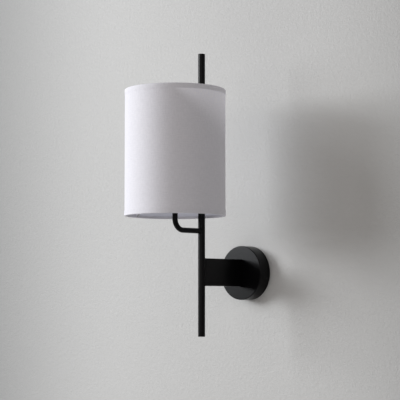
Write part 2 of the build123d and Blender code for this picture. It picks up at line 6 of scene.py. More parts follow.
import logging
from collections.abc import Callable
from dataclasses import dataclass
from enum import Enum
from math import atan2, cos, hypot, pi, radians, sin, tau

import bmesh
import bpy
from mathutils import Matrix, Vector, noise


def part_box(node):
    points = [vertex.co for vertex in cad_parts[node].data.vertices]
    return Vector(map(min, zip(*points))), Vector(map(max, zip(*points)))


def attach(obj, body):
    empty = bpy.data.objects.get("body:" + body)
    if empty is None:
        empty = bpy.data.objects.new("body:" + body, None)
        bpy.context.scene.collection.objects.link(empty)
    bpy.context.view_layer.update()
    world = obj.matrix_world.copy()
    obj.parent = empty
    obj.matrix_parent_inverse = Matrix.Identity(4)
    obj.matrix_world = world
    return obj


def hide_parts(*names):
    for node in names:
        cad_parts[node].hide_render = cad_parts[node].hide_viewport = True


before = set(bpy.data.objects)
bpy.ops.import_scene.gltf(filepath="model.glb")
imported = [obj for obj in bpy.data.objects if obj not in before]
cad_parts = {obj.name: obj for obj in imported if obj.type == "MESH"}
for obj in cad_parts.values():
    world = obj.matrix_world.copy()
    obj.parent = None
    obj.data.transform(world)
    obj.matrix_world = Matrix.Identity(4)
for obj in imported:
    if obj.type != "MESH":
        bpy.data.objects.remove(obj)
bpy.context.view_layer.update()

MERGE_DISTANCE = 1e-6
BLADE_CLEARANCE = 0.001
FLAT_ANGLE = radians(34)
INTO_ROOM = Matrix.Rotation(pi / 2, 4, "X")
ORIGIN = (0.0, 0.0, 0.0)

logger = logging.getLogger("wall_light")

Point = tuple[float, float, float]
Outline = list[tuple[float, ...]]
Colour = tuple[float, float, float]
Socket = bpy.types.NodeSocket
Sockets = bpy.types.bpy_prop_collection
Inputs = dict[str | int, float | tuple[float, ...] | Socket]


class Body(Enum):
    """The moving bodies that new pieces ride on."""

    WALL_FRAME = "wall_frame"
    SHADE = "shade"
    SHADE_RING = "shade_ring"
    LAMP = "lamp"


class End(Enum):
    """The ends of an upright form, as the names of pieces and nodes say them."""

    TOP = "top"
    BOTTOM = "bottom"


class Ramp(Enum):
    """How a value runs from one level to another."""

    STRAIGHT = "LINEAR"
    SMOOTH = "SMOOTHSTEP"


# ------------------------------------------------------------------ node graphs


class Graph:
    """Adds and links the nodes of one node tree."""

    def __init__(self, tree: bpy.types.NodeTree) -> None:
        """Takes the tree to fill."""
        self.tree = tree

    def feed(self, node: bpy.types.Node, inputs: Inputs) -> bpy.types.Node:
        """Sets a node's inputs.

        Args:
            node: The node.
            inputs: Constants and output sockets by input name or index.

        Returns:
            The node.
        """
        for key, value in inputs.items():
            if isinstance(value, Socket):
                self.tree.links.new(value, node.inputs[key])
            else:
                node.inputs[key].default_value = value
        return node

    def add(self, kind: str, inputs: Inputs | None = None, **settings: object) -> bpy.types.Node:
        """Adds a shader node.

        Args:
            kind: The node's type without its ShaderNode prefix.
            inputs: Constants and output sockets by input name or index.
            **settings: Properties of the node.

        Returns:
            The new node.
        """
        node = self.tree.nodes.new("ShaderNode" + kind)
        for key, value in settings.items():
            setattr(node, key, value)
        return self.feed(node, inputs or {})

    def shared(self, group: "SharedGroup", inputs: Inputs) -> bpy.types.Node:
        """Places a shared group with values of its own."""
        return self.add("Group", inputs, node_tree=group.tree())

    def place(self) -> Socket:
        """Object coordinates, which are metres in the shared frame."""
        node = self.tree.nodes.get("Texture Coordinate") or self.add("TexCoord")
        return node.outputs["Object"]

    def normal(self, axis: int) -> Socket:
        """One axis of the surface's normal."""
        return self.axis(self.add("NewGeometry").outputs["Normal"], axis)

    def axis(self, vector: Socket, axis: int) -> Socket:
        """One axis of a vector."""
        return self.add("SeparateXYZ", {0: vector}).outputs[axis]

    def math(self, operation: str, *terms: float | Socket) -> Socket:
        """Joins numbers and sockets by one of Blender's math operations."""
        return self.add("Math", dict(enumerate(terms)), operation=operation).outputs[0]

    def times(self, first: float | Socket, second: float | Socket) -> Socket:
        """Multiplies two numbers or sockets."""
        return self.math("MULTIPLY", first, second)

    def blend(self, share: Socket, first: Colour | Socket, second: Colour | Socket) -> Socket:
        """Mixes two colours by the second one's share."""
        ends = [end if isinstance(end, Socket) else (*end, 1.0) for end in (first, second)]
        return self.add("Mix", {0: share, 6: ends[0], 7: ends[1]}, data_type="RGBA").outputs[2]

    def remap(self, value: Socket, low: float, high: float, to_low: float | Socket = 0.0,
              to_high: float | Socket = 1.0, ramp: Ramp = Ramp.STRAIGHT) -> Socket:
        """Stretches a value from one range to another, and holds it there."""
        inputs = {0: value, 1: low, 2: high, 3: to_low, 4: to_high}
        return self.add("MapRange", inputs, interpolation_type=ramp.value).outputs[0]

    def bump(self, height: Socket, distance: float) -> Socket:
        """Turns a height, of the given metres at 1, into a normal."""
        return self.add("Bump", {"Height": height, "Distance": distance}).outputs[0]

    def stretch(self, place: Socket, scale: Point) -> Socket:
        """Scales a pattern's coordinates."""
        return self.add("Mapping", {"Vector": place, "Scale": scale}).outputs[0]

    def cloud(self, place: Socket, scale: float | Socket, detail: float) -> Socket:
        """A cloudy pattern's value."""
        inputs = {"Vector": place, "Scale": scale, "Detail": detail}
        return self.add("TexNoise", inputs).outputs[0]

    def drift(self, scale: float, low: float, high: float) -> Socket:
        """A slow change over the surface, between two levels."""
        inputs = {"Vector": self.place(), "Scale": scale, "Low": low, "High": high}
        return self.shared(DRIFT, inputs).outputs[0]

    def grain(self, scale: float, grit: float, depth: float) -> Socket:
        """The normal of fine pebbled relief."""
        inputs = {"Vector": self.place(), "Scale": scale, "Grit": grit}
        return self.bump(self.shared(GRAIN, inputs).outputs[0], depth)


@dataclass(frozen=True)
class SharedGroup:
    """A shader node group that several materials use.

    Attributes:
        name: The group's name.
        inputs: Default value by socket name; a tuple makes a vector socket.
        outputs: Names of the float outputs.
        fill: Takes the graph and the input sockets and returns the output sockets.
    """

    name: str
    inputs: dict[str, float | Point]
    outputs: tuple[str, ...]
    fill: Callable[[Graph, Sockets], list[Socket]]

    def tree(self) -> bpy.types.NodeTree:
        """Builds the group the first time that it is asked for.

        Returns:
            The group's node tree.
        """
        group = bpy.data.node_groups.get(self.name)
        if group:
            return group
        group = bpy.data.node_groups.new(self.name, "ShaderNodeTree")
        for name, value in self.inputs.items():
            kind = "NodeSocketVector" if isinstance(value, tuple) else "NodeSocketFloat"
            socket = group.interface.new_socket(name, in_out="INPUT", socket_type=kind)
            socket.default_value = value
        for name in self.outputs:
            group.interface.new_socket(name, in_out="OUTPUT", socket_type="NodeSocketFloat")
        entry = group.nodes.new("NodeGroupInput")
        leave = group.nodes.new("NodeGroupOutput")
        graph = Graph(group)
        graph.feed(leave, dict(enumerate(self.fill(graph, entry.outputs))))
        return group


def fill_drift(graph: Graph, given: Sockets) -> list[Socket]:
    """A slow change over the surface, between two levels.

    Args:
        graph: The group's node graph.
        given: Its input sockets by name.

    Returns:
        Its output sockets.
    """
    cloud = graph.cloud(given["Vector"], given["Scale"], 3.0)
    return [graph.remap(cloud, 0.3, 0.7, given["Low"], given["High"])]


def fill_grain(graph: Graph, given: Sockets) -> list[Socket]:
    """Fine pebbled relief, as on powder coat and moulded plastic.

    Args:
        graph: The group's node graph.
        given: Its input sockets by name.

    Returns:
        Its output sockets.
    """
    finer = 3.1
    pebble = graph.cloud(given["Vector"], given["Scale"], 1.5)
    grit = graph.cloud(given["Vector"], graph.times(given["Scale"], finer), 0.0)
    return [graph.math("ADD", pebble, graph.times(grit, given["Grit"]))]


def fill_lines(graph: Graph, given: Sockets) -> list[Socket]:
    """Long fine lines along z, as rolling and drawing leave on metal.

    Args:
        graph: The group's node graph.
        given: Its input sockets by name.

    Returns:
        Its output sockets.
    """
    drawn = graph.stretch(given["Vector"], (1.0, 1.0, 0.03))
    return [graph.cloud(drawn, given["Scale"], 2.0)]


def fill_weave(graph: Graph, given: Sockets) -> list[Socket]:
    """Plain weave on UVs in metres: threads with thick places in them, and their tone.

    Args:
        graph: The group's node graph.
        given: Its input sockets by name.

    Returns:
        Its output sockets.
    """
    crossing = 0.35
    slub_scales = ((420.0, 110.0, 1.0), (90.0, 620.0, 1.0))
    turns = [graph.math("DIVIDE", graph.axis(given["UV"], axis), given["Pitch"]) for axis in (0, 1)]
    waves = [graph.math("SINE", graph.times(turn, pi)) for turn in turns]
    over = [graph.times(graph.times(waves[1 - axis], graph.math("SIGN", waves[axis])), crossing)
            for axis in (0, 1)]
    warp = graph.math("ADD", graph.math("ABSOLUTE", waves[0]), over[0])
    weft = graph.math("SUBTRACT", graph.math("ABSOLUTE", waves[1]), over[1])
    threads = graph.times(graph.math("MAXIMUM", warp, weft), given["Thread"])
    slubs = [graph.cloud(graph.stretch(given["UV"], scale), 1.0, 2.0) for scale in slub_scales]
    thick = graph.math("ADD", *slubs)
    relief = graph.times(graph.math("SUBTRACT", thick, 1.0), given["Slub"])
    return [graph.math("ADD", threads, relief), graph.remap(thick, 0.7, 1.3)]


def fill_dust(graph: Graph, given: Sockets) -> list[Socket]:
    """A thin broken veil on faces that look up.

    Args:
        graph: The group's node graph.
        given: Its input sockets by name.

    Returns:
        Its output sockets.
    """
    patches = graph.remap(graph.cloud(given["Vector"], 60.0, 4.0), 0.35, 0.75, 0.4)
    veil = graph.times(graph.remap(graph.normal(2), 0.5, 1.0), patches)
    return [graph.times(veil, given["Amount"])]


DRIFT = SharedGroup("surface drift", {"Vector": ORIGIN, "Scale": 40.0, "Low": 0.0, "High": 1.0},
                    ("Level",), fill_drift)
GRAIN = SharedGroup("pebbled grain", {"Vector": ORIGIN, "Scale": 900.0, "Grit": 0.3},
                    ("Height",), fill_grain)
LINES = SharedGroup("drawn lines", {"Vector": ORIGIN, "Scale": 1800.0}, ("Height",), fill_lines)
WEAVE = SharedGroup("plain weave", {"UV": ORIGIN, "Pitch": 0.0006, "Thread": 0.06, "Slub": 1.0},
                    ("Height", "Tone"), fill_weave)
DUST = SharedGroup("settled dust", {"Vector": ORIGIN, "Amount": 0.05}, ("Mask",), fill_dust)


# ------------------------------------------------------------------ finishes


def shaded(colour: Colour, share: float, lift: float = 0.0) -> Colour:
    """A colour with each channel at a share of its level, and lifted."""
    return tuple(share * channel + lift for channel in colour)


@dataclass(frozen=True)
class Finish:
    """A named surface that can dress a piece.

    Attributes:
        name: The finish's name.
        colour: Its base colour.
        slot: The material slot of the new pieces that wear it; it is not used.
    """

    name: str
    colour: Colour
    slot: str = ""

    def material(self) -> bpy.types.Material:
        """Makes the finish's material the first time that it is asked for.

        Returns:
            The material.
        """
        label = "finish " + self.name
        material = bpy.data.materials.get(label)
        if material is None:
            material = bpy.data.materials.new(label)
            material.use_nodes = True
            tree = material.node_tree
            self.paint(Graph(tree), tree.nodes["Principled BSDF"])
        return material

    def paint(self, graph: Graph, shader: bpy.types.Node) -> None:
        """Fills the material's nodes.

        Args:
            graph: The material's node graph.
            shader: Its Principled BSDF.
        """
        raise NotImplementedError


@dataclass(frozen=True)
class PowderCoat(Finish):
    """Baked paint on metal, faintly pebbled, with a thin veil of dust on level faces."""

    roughness: float = 0.45
    spread: float = 0.04
    drift_scale: float = 35.0
    pebble: float = 0.000012
    pebble_scale: float = 1100.0
    grit: float = 0.25
    dust: float = 0.04
    dust_share: float = 0.7
    dust_lift: float = 0.12
    gloss: float = 0.5

    def paint(self, graph: Graph, shader: bpy.types.Node) -> None:
        """Fills the material's nodes.

        Args:
            graph: The material's node graph.
            shader: Its Principled BSDF.
        """
        veil = graph.shared(DUST, {"Vector": graph.place(), "Amount": self.dust}).outputs[0]
        dusty = shaded(self.colour, self.dust_share, self.dust_lift)
        low, high = self.roughness - self.spread, self.roughness + self.spread
        graph.feed(shader, {
            "Base Color": graph.blend(veil, self.colour, dusty),
            "Roughness": graph.drift(self.drift_scale, low, high),
            "Normal": graph.grain(self.pebble_scale, self.grit, self.pebble),
            "Specular IOR Level": self.gloss,
        })


@dataclass(frozen=True)
class PlatedMetal(Finish):
    """Bare or plated metal with drawn lines and slow changes of tone."""

    roughness: float = 0.3
    smoother: float = 0.06
    rougher: float = 0.1
    drift_scale: float = 90.0
    line: float = 0.000004
    line_scale: float = 1800.0
    tarnish: float = 0.12
    tarnish_scale: float = 240.0
    dull: float = 0.45

    def paint(self, graph: Graph, shader: bpy.types.Node) -> None:
        """Fills the material's nodes.

        Args:
            graph: The material's node graph.
            shader: Its Principled BSDF.
        """
        stain = graph.drift(self.tarnish_scale, 0.0, self.tarnish)
        lines = graph.shared(LINES, {"Vector": graph.place(), "Scale": self.line_scale})
        low, high = self.roughness - self.smoother, self.roughness + self.rougher
        graph.feed(shader, {
            "Base Color": graph.blend(stain, self.colour, shaded(self.colour, self.dull)),
            "Roughness": graph.drift(self.drift_scale, low, high),
            "Normal": graph.bump(lines.outputs[0], self.line),
            "Metallic": 1.0,
        })


@dataclass(frozen=True)
class Moulded(Finish):
    """Moulded plastic, rubber or glazed ceramic with a fine surface grain."""

    roughness: float = 0.4
    spread: float = 0.05
    drift_scale: float = 120.0
    grain: float = 0.00001
    grain_scale: float = 1500.0
    grit: float = 0.4
    mottle: float = 0.1
    mottle_scale: float = 300.0
    deep: float = 0.8
    coat: float = 0.0
    scatter: float = 0.0
    scatter_depth: float = 0.001

    def paint(self, graph: Graph, shader: bpy.types.Node) -> None:
        """Fills the material's nodes.

        Args:
            graph: The material's node graph.
            shader: Its Principled BSDF.
        """
        mottle = graph.drift(self.mottle_scale, 0.0, self.mottle)
        low, high = self.roughness - self.spread, self.roughness + self.spread
        graph.feed(shader, {
            "Base Color": graph.blend(mottle, self.colour, shaded(self.colour, self.deep)),
            "Roughness": graph.drift(self.drift_scale, low, high),
            "Normal": graph.grain(self.grain_scale, self.grit, self.grain),
            "Coat Weight": self.coat,
            "Subsurface Weight": self.scatter,
            "Subsurface Scale": self.scatter_depth,
        })


@dataclass(frozen=True)
class Lining(Moulded):
    """Stiff white sheet with painted light: an even emission in its own colour stands in for the
    light that the cloth lets through.
    """

    painted_glow: float = 0.16

    def paint(self, graph: Graph, shader: bpy.types.Node) -> None:
        """Fills the material's nodes.

        Args:
            graph: The material's node graph.
            shader: Its Principled BSDF.
        """
        super().paint(graph, shader)
        # Painted light: the liner gives off light though it is no lamp.
        painted_glow = {"Emission Color": (*self.colour, 1.0), "Emission Strength": self.painted_glow}
        graph.feed(shader, painted_glow)


@dataclass(frozen=True)
class Insulation(Finish):
    """A wire's sleeve, in one colour or with a second colour as a stripe along one side."""

    stripe: Colour | None = None
    stripe_edge: float = 0.15
    roughness: float = 0.35
    grain: float = 0.00001
    grain_scale: float = 2500.0
    grit: float = 0.3
    mottle: float = 0.25
    mottle_scale: float = 500.0
    deep: float = 0.75

    def paint(self, graph: Graph, shader: bpy.types.Node) -> None:
        """Fills the material's nodes.

        Args:
            graph: The material's node graph.
            shader: Its Principled BSDF.
        """
        mottle = graph.drift(self.mottle_scale, 0.0, self.mottle)
        tint = graph.blend(mottle, self.colour, shaded(self.colour, self.deep))
        if self.stripe:
            side = graph.remap(graph.normal(0), -self.stripe_edge, self.stripe_edge)
            tint = graph.blend(side, tint, self.stripe)
        graph.feed(shader, {
            "Base Color": tint,
            "Normal": graph.grain(self.grain_scale, self.grit, self.grain),
            "Roughness": self.roughness,
        })


@dataclass(frozen=True)
class WovenCloth(Finish):
    """Plain woven cloth glued to a backing, seen by its threads and slubs.

    Light that falls in at the shade's open top is painted on as faint emission on its far side.

    Attributes:
        shadow: Share of the colour that is left in the deeper places.
        painted_glow: Strength of the painted emission that stands in for the light that comes
            through.
        top: Height of the shade's top.
        reach: Distance of the shade's axis from the wall.
        light_run: Level direction in which the light falls.
        light_slope: Fall of the light over a metre of its level run.
        least_run: Shortest level run inside the shade that counts.
        lit_depths: Depths, as shares of the light's fall across the shade, at which the painted
            emission starts to dim and is at its faintest.
        faint: Share of the glow that is left there.
    """

    pitch: float = 0.0006
    thread: float = 0.06
    slub: float = 1.0
    relief: float = 0.00022
    shadow: float = 0.93
    drift_scale: float = 14.0
    warm: Colour = (1.0, 0.99, 0.975)
    warm_share: float = 0.5
    painted_glow: float = 0.0
    top: float = 0.323
    reach: float = 0.197
    light_run: Point = (0.788, 0.616, 0.0)
    light_slope: float = 0.26
    least_run: float = 0.004
    lit_depths: tuple[float, float] = (0.2, 2.2)
    faint: float = 0.06

    def paint(self, graph: Graph, shader: bpy.types.Node) -> None:
        """Fills the material's nodes.

        Args:
            graph: The material's node graph.
            shader: Its Principled BSDF.
        """
        weave = graph.shared(WEAVE, {
            "UV": graph.add("UVMap", uv_map="cloth").outputs[0],
            "Pitch": self.pitch, "Thread": self.thread, "Slub": self.slub,
        })
        warm = tuple(level * share for level, share in zip(self.colour, self.warm))
        base = graph.blend(graph.drift(self.drift_scale, 0.0, self.warm_share), self.colour, warm)
        deep = shaded(self.colour, self.shadow)
        graph.feed(shader, {
            "Base Color": graph.blend(weave.outputs["Tone"], deep, base),
            "Normal": graph.bump(weave.outputs["Height"], self.relief),
            "Roughness": 0.95,
            "Specular IOR Level": 0.15,
            "Sheen Weight": 0.08,
            "Sheen Roughness": 0.6,
        })
        if self.painted_glow:
            self.paint_light_through(graph, shader)

    def paint_light_through(self, graph: Graph, shader: bpy.types.Node) -> None:
        """Paints emission on the cloth where light from the open top would fall on the lining
        behind it.

        Args:
            graph: The material's node graph.
            shader: Its Principled BSDF.
        """
        inputs = {"Vector": graph.place(), "Location": (0.0, self.reach, -self.top)}
        centred = graph.add("Mapping", inputs).outputs[0]
        inputs = {0: centred, 1: self.light_run}
        run = graph.add("VectorMath", inputs, operation="DOT_PRODUCT").outputs["Value"]
        run = graph.math("MAXIMUM", run, self.least_run)
        fall = graph.times(run, 2.0 * self.light_slope)
        depth = graph.times(graph.axis(centred, 2), -1.0)
        share = graph.math("DIVIDE", depth, fall)
        lit = graph.remap(share, *self.lit_depths, 1.0, self.faint, Ramp.SMOOTH)
        # Painted light: emission in the cloth's colour where light would shine through, though the
        # cloth is no lamp.
        graph.feed(shader, {
            "Emission Color": graph.blend(lit, ORIGIN, self.colour),
            "Emission Strength": self.painted_glow,
        })


@dataclass(frozen=True)
class ClearGlass(Finish):
    """Blown glass with faint waves in its surface."""

    wave: float = 0.0001
    wave_scale: float = 45.0
    film: tuple[float, float] = (0.03, 0.08)
    film_scale: float = 25.0
    refraction: float = 1.46

    def paint(self, graph: Graph, shader: bpy.types.Node) -> None:
        """Fills the material's nodes.

        Args:
            graph: The material's node graph.
            shader: Its Principled BSDF.
        """
        graph.feed(shader, {
            "Base Color": (*self.colour, 1.0),
            "Normal": graph.bump(graph.drift(self.wave_scale, 0.0, 1.0), self.wave),
            "Roughness": graph.drift(self.film_scale, *self.film),
            "Transmission Weight": 1.0,
            "IOR": self.refraction,
        })


@dataclass(frozen=True)
class OneSidedPaint(Finish):
    """Matt room paint that the camera sees through from behind, painted darker sideways as painted
    shade of light falling off.
    """

    roller: float = 0.0007
    roller_scale: float = 150.0
    grit: float = 0.6
    even_half_width: float = 0.22
    painted_dimming_width: float = 0.65
    painted_dimming_centre: float = -0.09
    painted_dimming: float = 0.5

    def paint(self, graph: Graph, shader: bpy.types.Node) -> None:
        """Fills the material's nodes.

        Args:
            graph: The material's node graph.
            shader: Its Principled BSDF.
        """
        # Painted shade: the paint darkens away from its middle, standing in for the light falling
        # off towards the sides.
        sideways = graph.math("SUBTRACT", graph.axis(graph.place(), 0), self.painted_dimming_centre)
        even, end = self.even_half_width, self.even_half_width + self.painted_dimming_width
        outward = graph.remap(graph.math("ABSOLUTE", sideways), even, end, ramp=Ramp.SMOOTH)
        graph.feed(shader, {
            "Base Color": graph.blend(outward, self.colour, shaded(self.colour, self.painted_dimming)),
            "Normal": graph.grain(self.roller_scale, self.grit, self.roller),
            "Roughness": 0.9,
            "Specular IOR Level": 0.2,
        })
        behind = graph.add("NewGeometry").outputs["Backfacing"]
        seen = graph.add("LightPath").outputs["Is Camera Ray"]
        clear = graph.add("BsdfTransparent").outputs[0]
        either = {0: graph.times(behind, seen), 1: shader.outputs[0], 2: clear}
        surface = {"Surface": graph.add("MixShader", either).outputs[0]}
        graph.feed(graph.tree.nodes["Material Output"], surface)


BLACK_COAT = PowderCoat("black coat", (0.0022, 0.002, 0.0026), "black_metal", roughness=0.3,
                        spread=0.02, dust=0.003, gloss=0.14)
BLACK_SCREW = PowderCoat("black oxide", (0.004, 0.004, 0.0045), "black_screw", roughness=0.4,
                         pebble=0.000005, dust=0.003, gloss=0.14)
WHITE_COAT = PowderCoat("white coat", (0.64, 0.63, 0.62), "white_metal", roughness=0.4, dust=0.0)
ZINC = PlatedMetal("zinc plate", (0.6, 0.61, 0.63), "zinc_steel", roughness=0.34, tarnish=0.07)
BRASS = PlatedMetal("brass", (0.72, 0.53, 0.24), roughness=0.28, tarnish=0.3)
SOLDER = PlatedMetal("solder", (0.6, 0.6, 0.58), roughness=0.45, tarnish=0.3)
NICKEL = PlatedMetal("nickel", (0.68, 0.66, 0.61), "lamp_cap_metal", roughness=0.22)
LAMP_WIRE = PlatedMetal("lamp wire", (0.55, 0.55, 0.55), roughness=0.3)
BLACK_PLASTIC = Moulded("black moulding", (0.016, 0.016, 0.018), "holder_plastic", roughness=0.34)
BLOCK_PLASTIC = Moulded("natural nylon", (0.8, 0.77, 0.7), "block_plastic", roughness=0.42,
                        scatter=0.2)
RUBBER = Moulded("black rubber", (0.022, 0.022, 0.022), roughness=0.75, grain=0.00002)
CERAMIC = Moulded("white glaze", (0.82, 0.81, 0.77), roughness=0.2, coat=0.6, grain=0.000004)
LAMP_BLACK = Moulded("black glass", (0.012, 0.012, 0.02), roughness=0.12, coat=0.5,
                     grain=0.000004)
LAMP_STEM = Moulded("mount glass", (0.85, 0.86, 0.86), roughness=0.18, coat=0.5, scatter=0.3,
                    grain=0.000003)
PHOSPHOR = Moulded("phosphor", (0.83, 0.58, 0.13), roughness=0.7, grain=0.00003,
                   grain_scale=2600.0)
LIVE_WIRE = Insulation("brown sleeve", (0.2, 0.085, 0.035))
NEUTRAL_WIRE = Insulation("blue sleeve", (0.03, 0.1, 0.42))
EARTH_WIRE = Insulation("green and yellow sleeve", (0.09, 0.34, 0.05), stripe=(0.8, 0.66, 0.04))
# Both cloths carry painted emission for light through the shade; the hem's is weaker.
CLOTH = WovenCloth("white cloth", (0.88, 0.868, 0.925), "shade_fabric", painted_glow=0.14)
HEM_CLOTH = WovenCloth("white hem cloth", (0.88, 0.868, 0.925), "shade_fabric", slub=0.7,
                       painted_glow=0.02)
LINER = Lining("white liner", (0.76, 0.76, 0.82), "shade_liner", roughness=0.5, grain=0.000006,
               grain_scale=400.0, mottle=0.06)
LAMP_GLASS = ClearGlass("lamp glass", (1.0, 1.0, 1.0), "lamp_glass")
WALL_PAINT = OneSidedPaint("wall paint", (0.615, 0.61, 0.6))
FLOOR_PAINT = OneSidedPaint("floor paint", (0.74, 0.73, 0.72))

CAD_FINISHES = {
    BRASS: ("terminal_inserts", "earth_screw", "earth_tags", "holder_terminal_screws",
            "screw_shell", "centre_contact"),
    ZINC: ("terminal_screws", "bar_screws", "bar_washers", "bar_end_block", "holder_nipple"),
    EARTH_WIRE: ("earth_lead",), LIVE_WIRE: ("live_lead",), NEUTRAL_WIRE: ("neutral_lead",),
    RUBBER: ("wire_grommet",), CERAMIC: ("holder_core",), SOLDER: ("lamp_tip",),
    LAMP_BLACK: ("lamp_insulator",), LAMP_STEM: ("lamp_mount",), PHOSPHOR: ("lamp_filaments",),
    LAMP_WIRE: ("lamp_support",), WHITE_COAT: ("shade_bottom_wire", "shade_top_wire"),
}


# ------------------------------------------------------------------ mesh forms


def facing(place: Vector, heading: Vector) -> Matrix:
    """Turns a form's z axis to a heading and moves its origin to a place."""
    return Matrix.Translation(place) @ heading.to_track_quat("Z", "Y").to_matrix().to_4x4()


def arc(centre: tuple[float, float], radius: float, start: float, end: float,
        steps: int) -> Outline:
    """Points of an outline along an arc.

    Args:
        centre: (radius, height) of the arc's centre.
        radius: The arc's radius.
        start: First angle in degrees, from the outward direction towards up.
        end: Last angle in degrees.
        steps: Straight pieces along the arc.

    Returns:
        The points, both ends included.
    """
    angles = [radians(start + (end - start) * step / steps) for step in range(steps + 1)]
    return [(centre[0] + radius * cos(angle), centre[1] + radius * sin(angle)) for angle in angles]


def chamfered(corners: Outline) -> Outline:
    """Cuts corners off a closed outline.

    Args:
        corners: (radius, height) of each corner, with a third number, its setback, if it is cut.

    Returns:
        The outline, with two points for each cut corner.
    """
    outline = []
    for index, (radius, height, *cut) in enumerate(corners):
        here = Vector((radius, height))
        if cut:
            for beside in (corners[index - 1], corners[(index + 1) % len(corners)]):
                outline.append((here + (Vector(beside[:2]) - here).normalized() * cut[0])[:])
        else:
            outline.append((radius, height))
    return outline


class Form:
    """A mesh in the making, shaped with bmesh operators."""

    def __init__(self) -> None:
        """Starts with nothing."""
        self.bm = bmesh.new()

    def spin(self, outline: Outline, steps: int, closed: bool = True) -> "Form":
        """Spins an outline about the z axis.

        Args:
            outline: (radius, height) corners.
            steps: Faces round the turn.
            closed: Whether the outline runs back to its first corner.

        Returns:
            This form.
        """
        corners = [self.bm.verts.new((radius, 0.0, height)) for radius, height in outline]
        pairs = list(zip(corners, corners[1:]))
        if closed:
            pairs.append((corners[-1], corners[0]))
        edges = [self.bm.edges.new(pair) for pair in pairs]
        bmesh.ops.spin(self.bm, geom=corners + edges, cent=ORIGIN, axis=(0, 0, 1),
                       angle=tau, steps=steps, use_merge=True)
        return self.weld()

    def thread(self, section: Outline, turns: float, pitch: float, steps: int = 64) -> "Form":
        """Winds a closed section up the z axis as a screw thread.

        Args:
            section: (radius, height) corners at the thread's start.
            turns: Turns of the thread.
            pitch: Rise of one turn.
            steps: Faces round one turn.

        Returns:
            This form.
        """
        ridge = Form()
        corners = [ridge.bm.verts.new((radius, 0.0, height)) for radius, height in section]
        ridge.bm.faces.new(corners)
        count = round(turns * steps)
        bmesh.ops.spin(ridge.bm, geom=list(ridge.bm.faces), cent=ORIGIN, axis=(0, 0, 1),
                       angle=turns * tau, steps=count, dvec=(0, 0, turns * pitch / count))
        return self.join(ridge.weld())

    def block(self, low: Point, high: Point) -> "Form":
        """Adds a block.

        Args:
            low: Its lowest corner.
            high: Its highest corner.

        Returns:
            This form.
        """
        low, high = Vector(low), Vector(high)
        size = Matrix.Diagonal((*(high - low), 1.0))
        place = Matrix.Translation((low + high) / 2)
        bmesh.ops.create_cube(self.bm, size=1.0, matrix=place @ size)
        return self

    def prism(self, outline: Outline, low: float, high: float) -> "Form":
        """Adds an upright prism.

        Args:
            outline: (x, y) corners of its foot.
            low: Height of its foot.
            high: Height of its top.

        Returns:
            This form.
        """
        prism = Form()
        foot = prism.bm.faces.new([prism.bm.verts.new((x, y, low)) for x, y in outline])
        grown = bmesh.ops.extrude_face_region(prism.bm, geom=[foot])["geom"]
        top = [item for item in grown if isinstance(item, bmesh.types.BMVert)]
        bmesh.ops.translate(prism.bm, verts=top, vec=(0.0, 0.0, high - low))
        return self.join(prism.weld())

    def rod(self, start: Point, end: Point, radius: float, sides: int = 32,
            end_radius: float | None = None) -> "Form":
        """Adds a round bar, or a cone, between two points.

        Args:
            start: Middle of its first end.
            end: Middle of its last end.
            radius: Its radius.
            sides: Faces round it.
            end_radius: Radius at its last end, where it is another.

        Returns:
            This form.
        """
        start, end = Vector(start), Vector(end)
        bmesh.ops.create_cone(self.bm, cap_ends=True, segments=sides, radius1=radius,
                              radius2=radius if end_radius is None else end_radius,
                              depth=(end - start).length,
                              matrix=facing((start + end) / 2, end - start))
        return self

    def bent_rod(self, corners: list[Point], bend: float, radius: float, sides: int,
                 steps: int) -> "Form":
        """Adds a round bar that runs along straight lines and turns by arcs between them.

        Args:
            corners: Ends and corners of the bar's middle line.
            bend: Radius of the arcs.
            radius: Radius of the bar.
            sides: Faces round the bar.
            steps: Rings along each arc.

        Returns:
            This form.
        """
        rod = Form()
        points = [Vector(corner) for corner in corners]
        place = points[0]
        heading = (points[1] - place).normalized()
        bmesh.ops.create_circle(rod.bm, cap_ends=False, segments=sides, radius=radius,
                                matrix=facing(place, heading))
        edges = rod.bm.edges[:]
        for index, corner in enumerate(points[1:], 1):
            last = index == len(points) - 1
            next_heading = heading if last else (points[index + 1] - corner).normalized()
            angle = heading.angle(next_heading)
            setback = 0.0 if last else bend * sin(angle / 2) / cos(angle / 2)
            grown = bmesh.ops.extrude_edge_only(rod.bm, edges=edges)["geom"]
            verts = [item for item in grown if isinstance(item, bmesh.types.BMVert)]
            edges = [item for item in grown if isinstance(item, bmesh.types.BMEdge)]
            bmesh.ops.translate(rod.bm, verts=verts, vec=corner - heading * setback - place)
            if last:
                break
            axis = heading.cross(next_heading).normalized()
            centre = corner - heading * setback + axis.cross(heading) * bend
            swept = bmesh.ops.spin(rod.bm, geom=verts + edges, cent=centre, axis=axis,
                                   angle=angle, steps=steps)["geom_last"]
            edges = [item for item in swept if isinstance(item, bmesh.types.BMEdge)]
            place = corner + next_heading * setback
            heading = next_heading
        rod.weld()
        ends = [edge for edge in rod.bm.edges if edge.is_boundary]
        bmesh.ops.holes_fill(rod.bm, edges=ends, sides=0)
        bmesh.ops.recalc_face_normals(rod.bm, faces=rod.bm.faces)
        return self.join(rod)

    def weld(self) -> "Form":
        """Closes seams and poles, drops bare edges and turns the faces outwards.

        Returns:
            This form.
        """
        bmesh.ops.remove_doubles(self.bm, verts=self.bm.verts, dist=MERGE_DISTANCE)
        wires = [edge for edge in self.bm.edges if edge.is_wire]
        bmesh.ops.delete(self.bm, geom=wires, context="EDGES")
        bmesh.ops.recalc_face_normals(self.bm, faces=self.bm.faces)
        return self

    def join(self, other: "Form") -> "Form":
        """Takes another form's mesh into this one.

        Args:
            other: The other form, which is used up.

        Returns:
            This form.
        """
        carrier = bpy.data.meshes.new("carrier")
        other.bm.to_mesh(carrier)
        self.bm.from_mesh(carrier)
        bpy.data.meshes.remove(carrier)
        other.bm.free()
        return self

    def move(self, matrix: Matrix) -> "Form":
        """Turns and moves the whole form."""
        bmesh.ops.transform(self.bm, matrix=matrix, verts=self.bm.verts)
        return self

